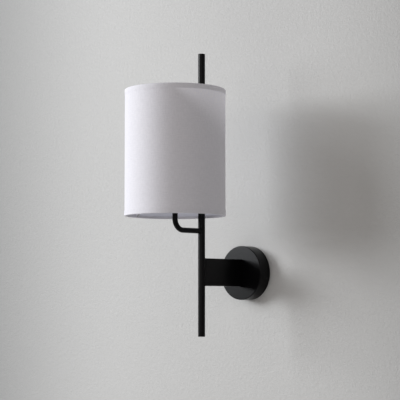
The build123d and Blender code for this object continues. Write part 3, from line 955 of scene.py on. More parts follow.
    def round_edges(self, width: float, segments: int = 2,
                    where: Callable[[Vector], bool] | None = None) -> "Form":
        """Rounds the edges between faces that meet at a marked angle.

        Args:
            width: Setback of the rounding.
            segments: Faces across it.
            where: Test of an edge's middle point; without it every marked edge is rounded.

        Returns:
            This form.
        """
        edges = []
        for edge in self.bm.edges:
            middle = (edge.verts[0].co + edge.verts[1].co) / 2
            marked = edge.is_manifold and edge.calc_face_angle(0.0) > FLAT_ANGLE
            if marked and (where is None or where(middle)):
                edges.append(edge)
        bmesh.ops.bevel(self.bm, geom=edges, offset=width, offset_type="OFFSET", affect="EDGES",
                        segments=segments, profile=0.5, material=-1, clamp_overlap=True)
        return self

    def cut(self, *blades: "Form") -> "Form":
        """Takes other forms' solids out of this one, each by itself.

        Args:
            *blades: The solids to take out, none of which overlaps itself.

        Returns:
            This form.
        """
        for blade in blades:
            held = [self.stand_in("cut_body"), blade.stand_in("cut_blade")]
            change = held[0].modifiers.new("cut", "BOOLEAN")
            change.object = held[1]
            change.solver = "EXACT"
            shaped = held[0].evaluated_get(bpy.context.evaluated_depsgraph_get())
            result = bpy.data.meshes.new_from_object(shaped)
            self.bm.free()
            self.bm = bmesh.new()
            self.bm.from_mesh(result)
            bpy.data.meshes.remove(result)
            for item in held:
                mesh = item.data
                bpy.data.objects.remove(item)
                bpy.data.meshes.remove(mesh)
            bmesh.ops.remove_doubles(self.bm, verts=self.bm.verts, dist=MERGE_DISTANCE)
        return self

    def stand_in(self, label: str) -> bpy.types.Object:
        """Makes a passing object of the form's present shape.

        Args:
            label: The object's name.

        Returns:
            The object.
        """
        mesh = bpy.data.meshes.new(label)
        self.bm.to_mesh(mesh)
        item = bpy.data.objects.new(label, mesh)
        bpy.context.scene.collection.objects.link(item)
        return item

    def wrap_cloth(self, centre: Vector, radius: float) -> "Form":
        """Gives an upright round sheet a UV map in metres: round the axis, and up.

        Args:
            centre: A point of the upright axis.
            radius: Radius at which the map is true to size.

        Returns:
            This form.
        """
        layer = self.bm.loops.layers.uv.new("cloth")
        for face in self.bm.faces:
            middle = face.calc_center_median() - centre
            base = atan2(middle.x, middle.y)
            for loop in face.loops:
                place = loop.vert.co - centre
                turn = atan2(place.x, place.y) - base
                turn -= tau * round(turn / tau)
                inward = radius - hypot(place.x, place.y)
                loop[layer].uv = ((base + turn) * radius, place.z + inward)
        return self


@dataclass
class SubAssembly:
    """Pieces that ride on one body of the light.

    Attributes:
        body: The body.
        reach: Distance of the pieces' upright axis from the wall.
    """

    body: Body
    reach: float = 0.0

    def on_axis(self) -> Matrix:
        """Moves a form from the z axis to the pieces' upright axis."""
        return Matrix.Translation((0.0, -self.reach, 0.0))

    def turned(self, outline: Outline, steps: int) -> Form:
        """Spins an outline about the pieces' upright axis."""
        return Form().spin(outline, steps).move(self.on_axis())

    def add(self, name: str, form: Form, finish: Finish, node: str,
            weighted: bool = True) -> bpy.types.Object:
        """Makes a finished piece of a form.

        Args:
            name: The piece's name.
            form: Its mesh in place.
            finish: Its finish.
            node: CAD node that it stands for.
            weighted: Whether large faces keep their flat shading beside rounded edges.

        Returns:
            The piece.
        """
        mesh = bpy.data.meshes.new(name)
        form.bm.to_mesh(mesh)
        form.bm.free()
        mesh.shade_smooth()
        mesh.set_sharp_from_angle(angle=FLAT_ANGLE)
        mesh.materials.append(finish.material())
        piece = bpy.data.objects.new(name, mesh)
        bpy.context.scene.collection.objects.link(piece)
        if weighted:
            piece.modifiers.new("flat faces", "WEIGHTED_NORMAL").keep_sharp = True
        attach(piece, self.body.value)
        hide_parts(node)
        logger.info("%s rides on %s and stands for %s", name, self.body.value, node)
        return piece


# ------------------------------------------------------------------ wall side


@dataclass
class WallMount(SubAssembly):
    """Round canopy, the bracket behind it, its screws and the terminal block."""

    body: Body = Body.WALL_FRAME
    radius: float = 0.050
    depth: float = 0.026
    wall: float = 0.0012
    edge_radius: float = 0.0014
    screw_angle: float = 11.0
    screw_y: float = -0.0085
    screw_radius: float = 0.0015
    screw_length: float = 0.007
    tip_inset: float = 0.0003
    tip_length: float = 0.0006
    head_radius: float = 0.0023
    dome_centre: float = -0.00303
    dome_radius: float = 0.00413
    dome_start: float = 56.15
    cross_length: float = 0.0024
    cross_width: float = 0.00048
    cross_floor: float = 0.0005
    bracket_end: float = 0.04682
    bracket_half_height: float = 0.013
    bracket_thickness: float = 0.002
    fold_depth: float = 0.015
    fold_outside: float = 0.0022
    fold_inside: float = 0.0006
    tab_corner: float = 0.002
    tapped_radius: float = 0.00153
    tapped_span: tuple[float, float] = (0.041, 0.052)
    slot_spacing: float = 0.068
    slot_length: float = 0.012
    slot_width: float = 0.0045
    entry_radius: float = 0.007
    earth_x: float = -0.016
    earth_radius: float = 0.00203
    block_edge: float = 0.0004
    block_step: float = 0.0006
    block_shoulder: float = 0.0032
    block_overlap: float = 0.0008
    pole_height: float = 0.0042
    well_inset: float = 0.004
    well_radius: float = 0.00133
    well_sink: float = 0.0004
    barrel_radius: float = 0.0029
    barrel_edge: float = 0.0003
    bore_radius: float = 0.00222

    def canopy(self) -> None:
        """Pressed pan, open at the wall, with a small rounded front edge."""
        inner, inside = self.radius - self.wall, self.depth - self.wall
        outline = [(0.0, inside), (inner, inside, 0.0004), (inner, 0.0),
                   (self.radius, 0.0, 0.0002), (self.radius, self.depth), (0.0, self.depth)]
        pan = Form().spin(chamfered(outline), 160)
        pan.round_edges(self.edge_radius, 5,
                        lambda middle: middle.z > inside and middle.to_2d().length > inner)
        self.add("canopy_pan", pan.move(INTO_ROOM), BLACK_COAT, "canopy")

    def outward(self, side: int, distance: float) -> Vector:
        """A point of one side screw's axis, at a distance from the canopy's axis."""
        angle = radians(self.screw_angle)
        return Vector((side * distance * cos(angle), self.screw_y, -distance * sin(angle)))

    def side_screws(self) -> None:
        """Two small pan-head screws square to the canopy's rim."""
        both = Form()
        tip = self.screw_radius - self.tip_inset
        arm, slit = self.cross_length / 2, self.cross_width / 2
        outline = [(0.0, -self.screw_length), (tip, -self.screw_length),
                   (self.screw_radius, self.tip_length - self.screw_length),
                   (self.screw_radius, 0.0), (self.head_radius, 0.0),
                   *arc((0.0, self.dome_centre), self.dome_radius, self.dome_start, 90, 6)]
        cross = [(slit, slit), (arm, slit), (arm, -slit), (slit, -slit), (slit, -arm),
                 (-slit, -arm), (-slit, -slit), (-arm, -slit), (-arm, slit), (-slit, slit),
                 (-slit, arm), (slit, arm)]
        above = self.cross_floor + 2 * BLADE_CLEARANCE
        for side in (-1, 1):
            screw = Form().spin(outline, 40)
            screw.cut(Form().prism(cross, self.cross_floor, above))
            seat = self.outward(side, self.radius)
            both.join(screw.move(facing(seat, seat - self.outward(side, 0.0))))
        self.add("canopy_side_screws", both, BLACK_SCREW, "canopy_screws")

    def bracket(self) -> None:
        """Strip with both ends folded into the room, with slots, a cable hole and tapped holes."""
        end, half, thick = self.bracket_end, self.bracket_half_height, self.bracket_thickness
        fold = self.fold_depth
        foot = [(-end, 0.0), (end, 0.0), (end, -fold), (end - thick, -fold), (end - thick, -thick),
                (-end + thick, -thick), (-end + thick, -fold), (-end, -fold)]
        strip = Form().prism(foot, -half, half)
        strip.round_edges(self.fold_outside, 5, lambda at: abs(at.z) < 0.001 and at.y > -0.0001)
        strip.round_edges(self.fold_inside, 3, lambda at: (
            abs(at.z) < 0.001 and -thick * 1.1 < at.y < -thick * 0.9
            and abs(at.x) > end - thick * 1.1))
        strip.round_edges(self.tab_corner, 4,
                          lambda at: abs(at.z) > half * 0.99 and at.y < -fold * 0.99)
        behind, before = BLADE_CLEARANCE, -2 * thick
        wide = self.slot_width / 2
        reach = self.slot_length / 2 - wide
        holes = Form().rod((0.0, behind, 0.0), (0.0, before, 0.0), self.entry_radius, 48)
        holes.rod((self.earth_x, behind, 0.0), (self.earth_x, before, 0.0), self.earth_radius, 24)
        for side in (-1, 1):
            middle = side * self.slot_spacing / 2
            for x in (middle - reach, middle + reach):
                holes.rod((x, behind, 0.0), (x, before, 0.0), wide, 24)
            start, stop = (self.outward(side, distance) for distance in self.tapped_span)
            strip.cut(Form().block((middle - reach, before, -wide), (middle + reach, behind, wide)),
                      Form().rod(start, stop, self.tapped_radius, 20))
        self.add("wall_bracket_strip", strip.cut(holes), ZINC, "wall_bracket")

    def terminal_block(self) -> None:
        """Two-pole block with a raised barrel over each clamping screw and wells for them."""
        low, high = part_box("terminal_block")
        middle_y = (low.y + high.y) / 2
        inner_y = middle_y + self.block_overlap
        step = self.block_step
        upper_low = (low.x + step, low.y + self.block_shoulder, low.z + step)
        upper_high = (high.x - step, inner_y, high.z - step)
        parts = [Form().block((low.x, middle_y, low.z), high[:]).round_edges(self.block_edge),
                 Form().block(upper_low, upper_high).round_edges(self.block_edge)]
        blades = []
        for pole in (-self.pole_height, self.pole_height):
            blades.append(Form().rod((low.x - BLADE_CLEARANCE, middle_y, pole),
                                     (high.x + BLADE_CLEARANCE, middle_y, pole),
                                     self.bore_radius))
            for x in (low.x + self.well_inset, high.x - self.well_inset):
                barrel = Form().rod((x, inner_y, pole), (x, low.y, pole), self.barrel_radius)
                parts.append(barrel.round_edges(self.barrel_edge))
                blades.append(Form().rod((x, middle_y - self.well_sink, pole),
                                         (x, low.y - BLADE_CLEARANCE, pole),
                                         self.well_radius, 24))
        form = Form()
        for part in parts:
            form.join(part.cut(*blades))
        self.add("terminal_block_moulding", form, BLOCK_PLASTIC, "terminal_block")

    def build(self) -> None:
        """Builds the wall side's pieces."""
        self.canopy()
        self.side_screws()
        self.bracket()
        self.terminal_block()


# ------------------------------------------------------------------ frame


@dataclass
class Frame(SubAssembly):
    """Flat box bar, tall stem with its end plugs, and the bent arm."""

    body: Body = Body.WALL_FRAME
    reach: float = 0.1295
    canopy_depth: float = 0.026
    bar_half_height: float = 0.025
    bar_half_thickness: float = 0.0045
    bar_corner: float = 0.0009
    bar_entry: float = 0.0032
    bead_radius: float = 0.00064
    bead_inset: float = 0.0003
    bead_sink: float = 0.0001
    bead_tail: float = 0.0014
    bead_bend: float = 0.0008
    stem_radius: float = 0.00635
    stem_bore: float = 0.00515
    stem_low: float = -0.116
    stem_high: float = 0.397
    chamfer: float = 0.0003
    plug_length: float = 0.008
    plug_sink: float = 0.0001
    plug_gap: float = 0.00003
    arm_radius: float = 0.00475
    arm_height: float = 0.074
    arm_reach: float = 0.197
    arm_top: float = 0.110
    arm_bend: float = 0.020

    def bar(self) -> None:
        """Rectangular tube with small rounded corners, welded to the stem."""
        half, tall = self.bar_half_thickness, self.bar_half_height
        end = -self.reach + self.bar_entry
        form = Form().block((-half, end, -tall), (half, -self.canopy_depth, tall))
        form.round_edges(self.bar_corner, 4,
                         lambda at: end + 0.001 < at.y < -self.canopy_depth - 0.001)
        meet = -self.reach + (self.stem_radius**2 - half**2) ** 0.5 - self.bead_sink
        back = meet - self.bead_tail
        for side in (-1, 1):
            z, x = side * tall, side * (half - self.bead_inset)
            form.bent_rod([(0.0, back, z), (x, meet, z), (x, meet, -z), (0.0, back, -z)],
                          self.bead_bend, self.bead_radius, 12, 4)
        self.add("bar_tube", form, BLACK_COAT, "box_bar")

    def sleeve(self, bore: float, outer: float, low: float, high: float) -> Form:
        """Sleeve on the stem's axis, with chamfered outer edges.

        Args:
            bore: Its inner radius, or 0 for a disc.
            outer: Its outer radius.
            low: Height of its foot.
            high: Height of its top.

        Returns:
            The form.
        """
        cut = self.chamfer
        outline = [(bore, low), (outer, low, cut), (outer, high, cut), (bore, high)]
        return self.turned(chamfered(outline), 64)

    def stem(self) -> None:
        """Tall round tube with a small chamfer at both ends."""
        form = self.sleeve(self.stem_bore, self.stem_radius, self.stem_low, self.stem_high)
        self.add("stem_tube", form, BLACK_COAT, "stem")

    def plugs(self) -> None:
        """Flush discs that close the stem's ends, a hair below its edge."""
        radius = self.stem_bore - self.plug_gap
        low, high = self.stem_low, self.stem_high
        for end, span in ((End.TOP, (high - self.plug_length, high - self.plug_sink)),
                          (End.BOTTOM, (low + self.plug_sink, low + self.plug_length))):
            form = self.sleeve(0.0, radius, *span)
            self.add(f"stem_plug_{end.value}", form, BLACK_COAT, f"stem_{end.value}_plug")

    def arm(self) -> None:
        """Bent round tube, with a weld flare where it leaves the stem."""
        route = [(0.0, -self.reach - 0.002, self.arm_height),
                 (0.0, -self.arm_reach, self.arm_height),
                 (0.0, -self.arm_reach, self.arm_top - 0.0001)]
        form = Form().bent_rod(route, self.arm_bend, self.arm_radius, 48, 20)
        surface = self.stem_radius
        flare = [(0.0, 0.002), (0.0062, 0.002), (0.0058, surface - 0.0002),
                 (0.00535, surface + 0.0006), (0.00495, surface + 0.0013),
                 (0.00478, surface + 0.0022), (0.0, surface + 0.0022)]
        place = Matrix.Translation((0.0, -self.reach, self.arm_height)) @ INTO_ROOM
        form.join(Form().spin(flare, 48).move(place))
        self.add("arm_tube", form, BLACK_COAT, "arm")

    def build(self) -> None:
        """Builds the frame's pieces."""
        self.bar()
        self.stem()
        self.plugs()
        self.arm()


# ------------------------------------------------------------------ lampholder


@dataclass
class Lampholder(SubAssembly):
    """Coupling, lock nut, moulded cap and threaded skirt on the arm's end."""

    body: Body = Body.WALL_FRAME
    reach: float = 0.197
    coupling_radius: float = 0.007
    coupling_bore: float = 0.0051
    coupling_low: float = 0.105
    coupling_high: float = 0.119
    coupling_chamfer: float = 0.0006
    groove: float = 0.00035
    groove_inset: float = 0.003
    nut_flats: float = 0.014
    nut_high: float = 0.1225
    nut_corner: float = 0.0005
    nipple_bore: float = 0.00503
    cap_high: float = 0.1465
    cap_foot_radius: float = 0.015
    cap_shoulder: float = 0.009
    rib_count: int = 48
    rib_radius: float = 0.0003
    rib_inset: float = 0.00035
    skirt_radius: float = 0.01975
    skirt_wall: float = 0.002
    skirt_high: float = 0.1805
    flange_radius: float = 0.023
    flange_high: float = 0.149
    flange_chamfer: float = 0.0004
    thread_pitch: float = 0.003
    thread_depth: float = 0.0006
    thread_half_width: float = 0.0009
    thread_start: float = 0.0014
    thread_end: float = 0.0016

    def coupling(self) -> None:
        """Turned sleeve with chamfered ends and two fine grooves."""
        radius, bore, cut = self.coupling_radius, self.coupling_bore, self.coupling_chamfer
        low, high, groove = self.coupling_low, self.coupling_high, self.groove
        outline = [(bore, low), (radius, low, cut)]
        for level in (low + self.groove_inset, high - self.groove_inset):
            outline += [(radius, level - groove), (radius - groove, level),
                        (radius, level + groove)]
        outline += [(radius, high, cut), (bore, high)]
        self.add("coupling_sleeve", self.turned(chamfered(outline), 64), BLACK_COAT,
                 "arm_coupling")

    def lock_nut(self) -> None:
        """Hexagon nut with rounded corners."""
        low, high = self.coupling_high, self.nut_high
        corner = self.nut_flats / 2 / cos(pi / 6)
        form = Form().rod((0.0, 0.0, low), (0.0, 0.0, high), corner, 6)
        form.round_edges(self.nut_corner, 3)
        form.cut(Form().rod((0.0, 0.0, low - BLADE_CLEARANCE),
                            (0.0, 0.0, high + BLADE_CLEARANCE), self.nipple_bore, 40))
        self.add("lock_nut_hexagon", form.move(self.on_axis()), ZINC, "lock_nut")

    def cap(self) -> None:
        """Moulded cap: conical foot, straight wall with fine upright ribs, and a groove."""
        low, high, radius, bore = self.nut_high, self.cap_high, self.skirt_radius, self.nipple_bore
        shoulder, foot, wall = low + self.cap_shoulder, self.cap_foot_radius, self.skirt_wall
        outline = [(bore, low), (foot - 0.0008, low), (foot, low + 0.0006),
                   (radius - 0.0004, shoulder - 0.0006), (radius, shoulder),
                   (radius, high - 0.0035), (radius - 0.0005, high - 0.0031),
                   (radius - 0.0005, high - 0.0027), (radius, high - 0.0023),
                   (radius, high, 0.0003), (radius - wall, high),
                   (radius - wall, shoulder + 0.001), (foot - wall, low + wall),
                   (bore, low + wall)]
        form = Form().spin(chamfered(outline), 96)
        out = radius - self.rib_inset
        for step in range(self.rib_count):
            rib = Form().rod((out, 0.0, shoulder + 0.0008), (out, 0.0, high - 0.0045),
                             self.rib_radius, 6)
            form.join(rib.move(Matrix.Rotation(tau * step / self.rib_count, 4, "Z")))
        self.add("holder_cap_moulding", form.move(self.on_axis()), BLACK_PLASTIC, "holder_cap")

    def skirt(self) -> None:
        """Threaded skirt with the flange that the shade rests on."""
        low, high, seat = self.cap_high, self.skirt_high, self.flange_high
        inner, root = self.skirt_radius - self.skirt_wall, self.skirt_radius - self.thread_depth
        flange, cut = self.flange_radius, self.flange_chamfer
        outline = [(inner, low), (flange, low, cut), (flange, seat, cut), (root, seat),
                   (root, high - 0.0006), (root - 0.0005, high), (inner, high, 0.0003)]
        form = Form().spin(chamfered(outline), 96)
        start = seat + self.thread_start
        depth, half = self.thread_depth, self.thread_half_width
        section = [(root - 0.0004, start - half), (root - 0.0004, start + half),
                   (root + depth * 0.6, start + half * 0.4), (root + depth, start + half * 0.1),
                   (root + depth, start - half * 0.1), (root + depth * 0.6, start - half * 0.4)]
        turns = (high - self.thread_end - start) / self.thread_pitch
        form.thread(section, turns, self.thread_pitch)
        self.add("holder_skirt_thread", form.move(self.on_axis()), BLACK_PLASTIC, "holder_skirt")

    def build(self) -> None:
        """Builds the lampholder's pieces."""
        self.coupling()
        self.lock_nut()
        self.cap()
        self.skirt()


@dataclass
class ShadeRing(SubAssembly):
    """Ring nut with finger grips that clamps the shade on the flange."""

    body: Body = Body.SHADE_RING
    reach: float = 0.197
    radius: float = 0.023
    bore: float = 0.01996
    low: float = 0.1511
    high: float = 0.1591
    edge: float = 0.0006
    grips: int = 24
    grip_faces: int = 8
    grip_depth: float = 0.0007

    def build(self) -> None:
        """Builds the ring."""
        outline = [(self.bore, self.low, 0.0002), (self.radius, self.low, self.edge),
                   (self.radius, self.high, self.edge), (self.bore, self.high, 0.0004)]
        form = Form().spin(chamfered(outline), self.grips * self.grip_faces)
        for vert in form.bm.verts:
            place = vert.co.to_2d()
            if place.length > self.radius - 2 * self.edge:
                wave = max(0.0, cos(self.grips * atan2(place.y, place.x)))
                vert.co.xy *= 1.0 - self.grip_depth * wave**1.5 / place.length
        self.add("shade_ring_nut", form.move(self.on_axis()), BLACK_PLASTIC, "shade_ring")


# ------------------------------------------------------------------ lamp


@dataclass
class Lamp(SubAssembly):
    """Screw cap and glass of the lamp."""

    body: Body = Body.LAMP
    reach: float = 0.197
    cap_low: float = 0.15375
    cap_high: float = 0.17575
    cap_radius: float = 0.0131
    cap_wall: float = 0.0004
    thread_depth: float = 0.0011
    thread_pitch: float = 0.003629
    thread_start: float = 0.0028
    thread_end: float = 0.0068
    ridge_radius: float = 0.00125
    glass_radius: float = 0.0185
    glass_wall: float = 0.0008
    glass_height: float = 0.084
    neck_rise: float = 0.012
    neck_sweep: float = 57.0

    def cap(self) -> None:
        """Thin cap rolled with a round thread, and a plain skirt under the glass."""
        low, high, crest = self.cap_low, self.cap_high, self.cap_radius
        root, wall = crest - self.thread_depth, self.cap_wall
        outline = [(0.0, low), (root, low, 0.0012), (root, high - 0.0055),
                   (crest - 0.0004, high - 0.0048), (crest, high - 0.004), (crest, high),
                   (crest - wall, high), (crest - wall, high - 0.004),
                   (root - wall, high - 0.006), (root - wall, low + 0.0014), (0.0, low + wall)]
        form = Form().spin(chamfered(outline), 96)
        start = low + self.thread_start
        section = [(root - 0.0008, start + 0.0011), (root - 0.0008, start - 0.0011),
                   *arc((root - 0.0003, start), self.ridge_radius, -75, 75, 6)]
        turns = (high - self.thread_end - start) / self.thread_pitch
        form.thread(section, turns, self.thread_pitch)
        self.add("lamp_cap_thread", form.move(self.on_axis()), NICKEL, "lamp_cap")

    def outline(self, inset: float) -> Outline:
        """Corners of the glass from its neck to its top.

        Args:
            inset: How far they lie inside its outer face.

        Returns:
            The corners.
        """
        foot = self.cap_high
        belly = self.glass_radius - inset
        swell = self.glass_radius - self.cap_radius
        bend = (swell**2 + self.neck_rise**2) / (2 * swell)
        neck = arc((belly - bend, foot + self.neck_rise), bend, -self.neck_sweep, 0, 10)
        neck = [(max(out, self.cap_radius - inset), max(up, foot)) for out, up in neck]
        return neck + arc((0.0, foot + self.glass_height - self.glass_radius), belly, 0, 90, 16)

    def glass(self) -> None:
        """Blown tube with a shoulder at its neck and a round top."""
        form = self.turned(self.outline(0.0) + self.outline(self.glass_wall)[::-1], 96)
        self.add("lamp_envelope", form, LAMP_GLASS, "lamp_glass", weighted=False)

    def build(self) -> None:
        """Builds the lamp's pieces."""
        self.cap()
        self.glass()


# ------------------------------------------------------------------ shade


@dataclass
class Shade(SubAssembly):
    """Cloth drum on a stiff liner, its folded hems, overlap seam and spider."""

    body: Body = Body.SHADE
    reach: float = 0.197
    radius: float = 0.090
    low: float = 0.098
    high: float = 0.323
    sides: int = 192
    hem_height: float = 0.009
    hem_thickness: float = 0.0005
    hem_return: float = 0.005
    hem_fold: float = 0.0017
    hem_edge: float = 0.0010
    glue_gap: float = 0.00002
    fabric_thickness: float = 0.0004
    fabric_rows: int = 48
    liner_thickness: float = 0.0005
    liner_rows: int = 12
    waver: float = 0.00012
    waver_scale: Point = (30.0, 30.0, 9.0)
    wire_radius: float = 0.0015
    seam_width: float = 0.014
    seam_thickness: float = 0.0004
    seam_rows: int = 24
    seam_turn: float = -3.5
    seam_half_turn: float = 4.46
    hub_bore: float = 0.02025
    hub_radius: float = 0.02345
    hub_low: float = 0.14905
    hub_high: float = 0.15105
    hub_chamfer: float = 0.0004
    arm_radius: float = 0.00125
    arm_count: int = 4
    arm_turn: float = -8.5
    arm_start: float = 0.0004
    arm_end: tuple[float, float] = (0.0012, 0.0006)
    foot_end: tuple[float, float] = (0.0022, 0.0010)
    foot_radii: tuple[float, float] = (0.0012, 0.00165)

    @property
    def centre(self) -> Vector:
        """A point of the shade's axis."""
        return Vector((0.0, -self.reach, 0.0))

    @property
    def fabric_outer(self) -> float:
        """Outer radius of the cloth."""
        return self.radius - self.hem_thickness - self.glue_gap

    @property
    def liner_outer(self) -> float:
        """Outer radius of the liner."""
        return self.fabric_outer - self.fabric_thickness - self.glue_gap

    @property
    def wire_circle(self) -> float:
        """Radius of the wire rings' middle line."""
        return self.liner_outer - self.liner_thickness - self.glue_gap - self.wire_radius

    def around(self, radius: float, turn: float, height: float) -> Vector:
        """Point at a radius and a turn from the wall, about the shade's axis."""
        angle = radians(turn)
        return self.centre + Vector((radius * sin(angle), radius * cos(angle), height))

    def wrapped(self, form: Form) -> Form:
        """Moves a form to the shade's axis and lays the cloth's UV map on it."""
        return form.move(self.on_axis()).wrap_cloth(self.centre, self.radius)

    def drum(self, outer: float, thickness: float, rows: int, waver: float = 0.0) -> Form:
        """A thin upright drum between the hems' folds.

        Args:
            outer: Its outer radius.
            thickness: Its thickness.
            rows: Rings of faces up its side.
            waver: How far its outer face strays from true.

        Returns:
            The form, with its UV map.
        """
        margin = self.hem_thickness + self.glue_gap
        low, high = self.low + margin, self.high - margin
        levels = [low + (high - low) * row / rows for row in range(rows + 1)]
        outline = [(outer, level) for level in levels]
        outline += [(outer - thickness, level) for level in reversed(levels)]
        form = Form().spin(outline, self.sides)
        for vert in form.bm.verts:
            length = vert.co.to_2d().length
            if waver and length > outer - thickness / 2:
                stray = waver * noise.noise(vert.co * Vector(self.waver_scale))
                vert.co.xy *= 1 + stray / length
        return self.wrapped(form)

    def sheets(self) -> bpy.types.Object:
        """Cloth, and the stiff white sheet behind it.

        Returns:
            The cloth.
        """
        form = self.drum(self.fabric_outer, self.fabric_thickness, self.fabric_rows, self.waver)
        cloth = self.add("shade_cloth", form, CLOTH, "shade_fabric", weighted=False)
        form = self.drum(self.liner_outer, self.liner_thickness, self.liner_rows)
        self.add("shade_lining", form, LINER, "shade_liner", weighted=False)
        return cloth

    def hem(self, end: End) -> bpy.types.Object:
        """Cloth tape folded over one wire ring.

        Args:
            end: Which end of the shade it closes.

        Returns:
            The piece.
        """
        edge, inward = (self.high, -1) if end is End.TOP else (self.low, 1)
        outer, thin, tall = self.radius, self.hem_thickness, self.hem_height
        fold, crisp = self.hem_fold, self.hem_edge
        back = self.wire_circle - self.wire_radius - self.glue_gap
        outside = [(outer, tall), (outer, 0.5 * tall),
                   *arc((outer - crisp, crisp), crisp, 0, -90, 6),
                   *arc((back - thin + fold, fold), fold, -90, -180, 6),
                   (back - thin, self.hem_return)]
        inside = [(back, self.hem_return),
                  *arc((back + fold - thin, fold), fold - thin, 180, 270, 5),
                  *arc((outer - crisp, crisp), crisp - thin, -90, 0, 5),
                  (outer - thin, 0.5 * tall), (outer - thin, tall - 0.0001)]
        outline = [(radius, edge + inward * height) for radius, height in outside + inside]
        form = self.wrapped(Form().spin(outline, self.sides))
        return self.add(f"shade_hem_{end.value}", form, HEM_CLOTH, f"shade_{end.value}_hem",
                        weighted=False)

    def seam(self) -> bpy.types.Object:
        """Overlap strip down the side that faces the wall.

        Returns:
            The piece.
        """
        margin = self.hem_height + self.glue_gap
        low, high = self.low + margin, self.high - margin
        radius = self.fabric_outer + self.glue_gap + self.waver
        form = Form()
        start = self.around(radius, self.seam_turn - self.seam_half_turn, low) - self.centre
        tip = form.bm.verts.new(start)
        for _ in range(self.seam_rows):
            tip = bmesh.ops.extrude_vert_indiv(form.bm, verts=[tip])["verts"][0]
            bmesh.ops.translate(form.bm, verts=[tip],
                                vec=(0.0, 0.0, (high - low) / self.seam_rows))
        bmesh.ops.spin(form.bm, geom=form.bm.verts[:] + form.bm.edges[:], cent=ORIGIN,
                       axis=(0, 0, -1), angle=self.seam_width / radius, steps=10)
        form.weld()
        if form.bm.faces[:][0].normal.dot(start) < 0:
            bmesh.ops.reverse_faces(form.bm, faces=form.bm.faces)
        bmesh.ops.solidify(form.bm, geom=form.bm.faces[:],
                           thickness=self.waver - self.seam_thickness)
        bmesh.ops.recalc_face_normals(form.bm, faces=form.bm.faces)
        return self.add("shade_seam_strip", self.wrapped(form), CLOTH, "shade_seam",
                        weighted=False)

    def spider(self) -> None:
        """Hub ring and four arms that slope down to the lower wire ring."""
        corners = [(self.hub_bore, self.hub_low), (self.hub_radius, self.hub_low),
                   (self.hub_radius, self.hub_high), (self.hub_bore, self.hub_high)]
        outline = chamfered([(*corner, self.hub_chamfer) for corner in corners])
        self.add("spider_hub_ring", self.turned(outline, 96), WHITE_COAT, "spider_hub")
        wire_z = self.low + self.hem_thickness + self.glue_gap + self.wire_radius
        hub_z = (self.hub_low + self.hub_high) / 2
        arms = Form()
        for step in range(self.arm_count):
            turn = 360 * step / self.arm_count + self.arm_turn
            inner = self.around(self.hub_radius + self.arm_start, turn, hub_z)
            outer, foot = (self.around(self.wire_circle - inset, turn, wire_z + rise)
                           for inset, rise in (self.arm_end, self.foot_end))
            arms.rod(inner, outer, self.arm_radius, 20)
            arms.join(Form().rod(outer, foot, self.foot_radii[0], 16, self.foot_radii[1]))
        self.add("spider_rods", arms, WHITE_COAT, "spider_arms")

    def build(self) -> None:
        """Builds the shade's pieces."""
        cloth = self.sheets()
        upper = self.hem(End.TOP)
        lower = self.hem(End.BOTTOM)
        seam = self.seam()
        self.spider()


# ------------------------------------------------------------------ studio


@dataclass(frozen=True)
class Softbox:
    """An oval soft lamp that looks at the light.

    Attributes:
        name: The lamp's name.
        turn: Degrees from straight out of the wall, towards -x.
        rise: Degrees above level.
        distance: Metres from the point that it looks at.
        width: Its width.
        height: Its height.
        power: Watts.
        tint: Its colour.
    """

    name: str
    turn: float
    rise: float
    distance: float
    width: float
    height: float
    power: float
    tint: Colour

    def light(self, aim: Vector) -> None:
        """Sets the lamp up.

        Args:
            aim: The point that it looks at.
        """
        data = bpy.data.lights.new(self.name, "AREA")
        data.shape = "ELLIPSE"
        data.size = self.width
        data.size_y = self.height
        data.energy = self.power
        data.color = self.tint
        turn, rise = radians(self.turn), radians(self.rise)
        outward = Vector((-sin(turn) * cos(rise), -cos(turn) * cos(rise), sin(rise)))
        lamp = bpy.data.objects.new(self.name, data)
        lamp.location = aim + outward * self.distance
        lamp.rotation_euler = (-outward).to_track_quat("-Z", "Y").to_euler()
        bpy.context.scene.collection.objects.link(lamp)


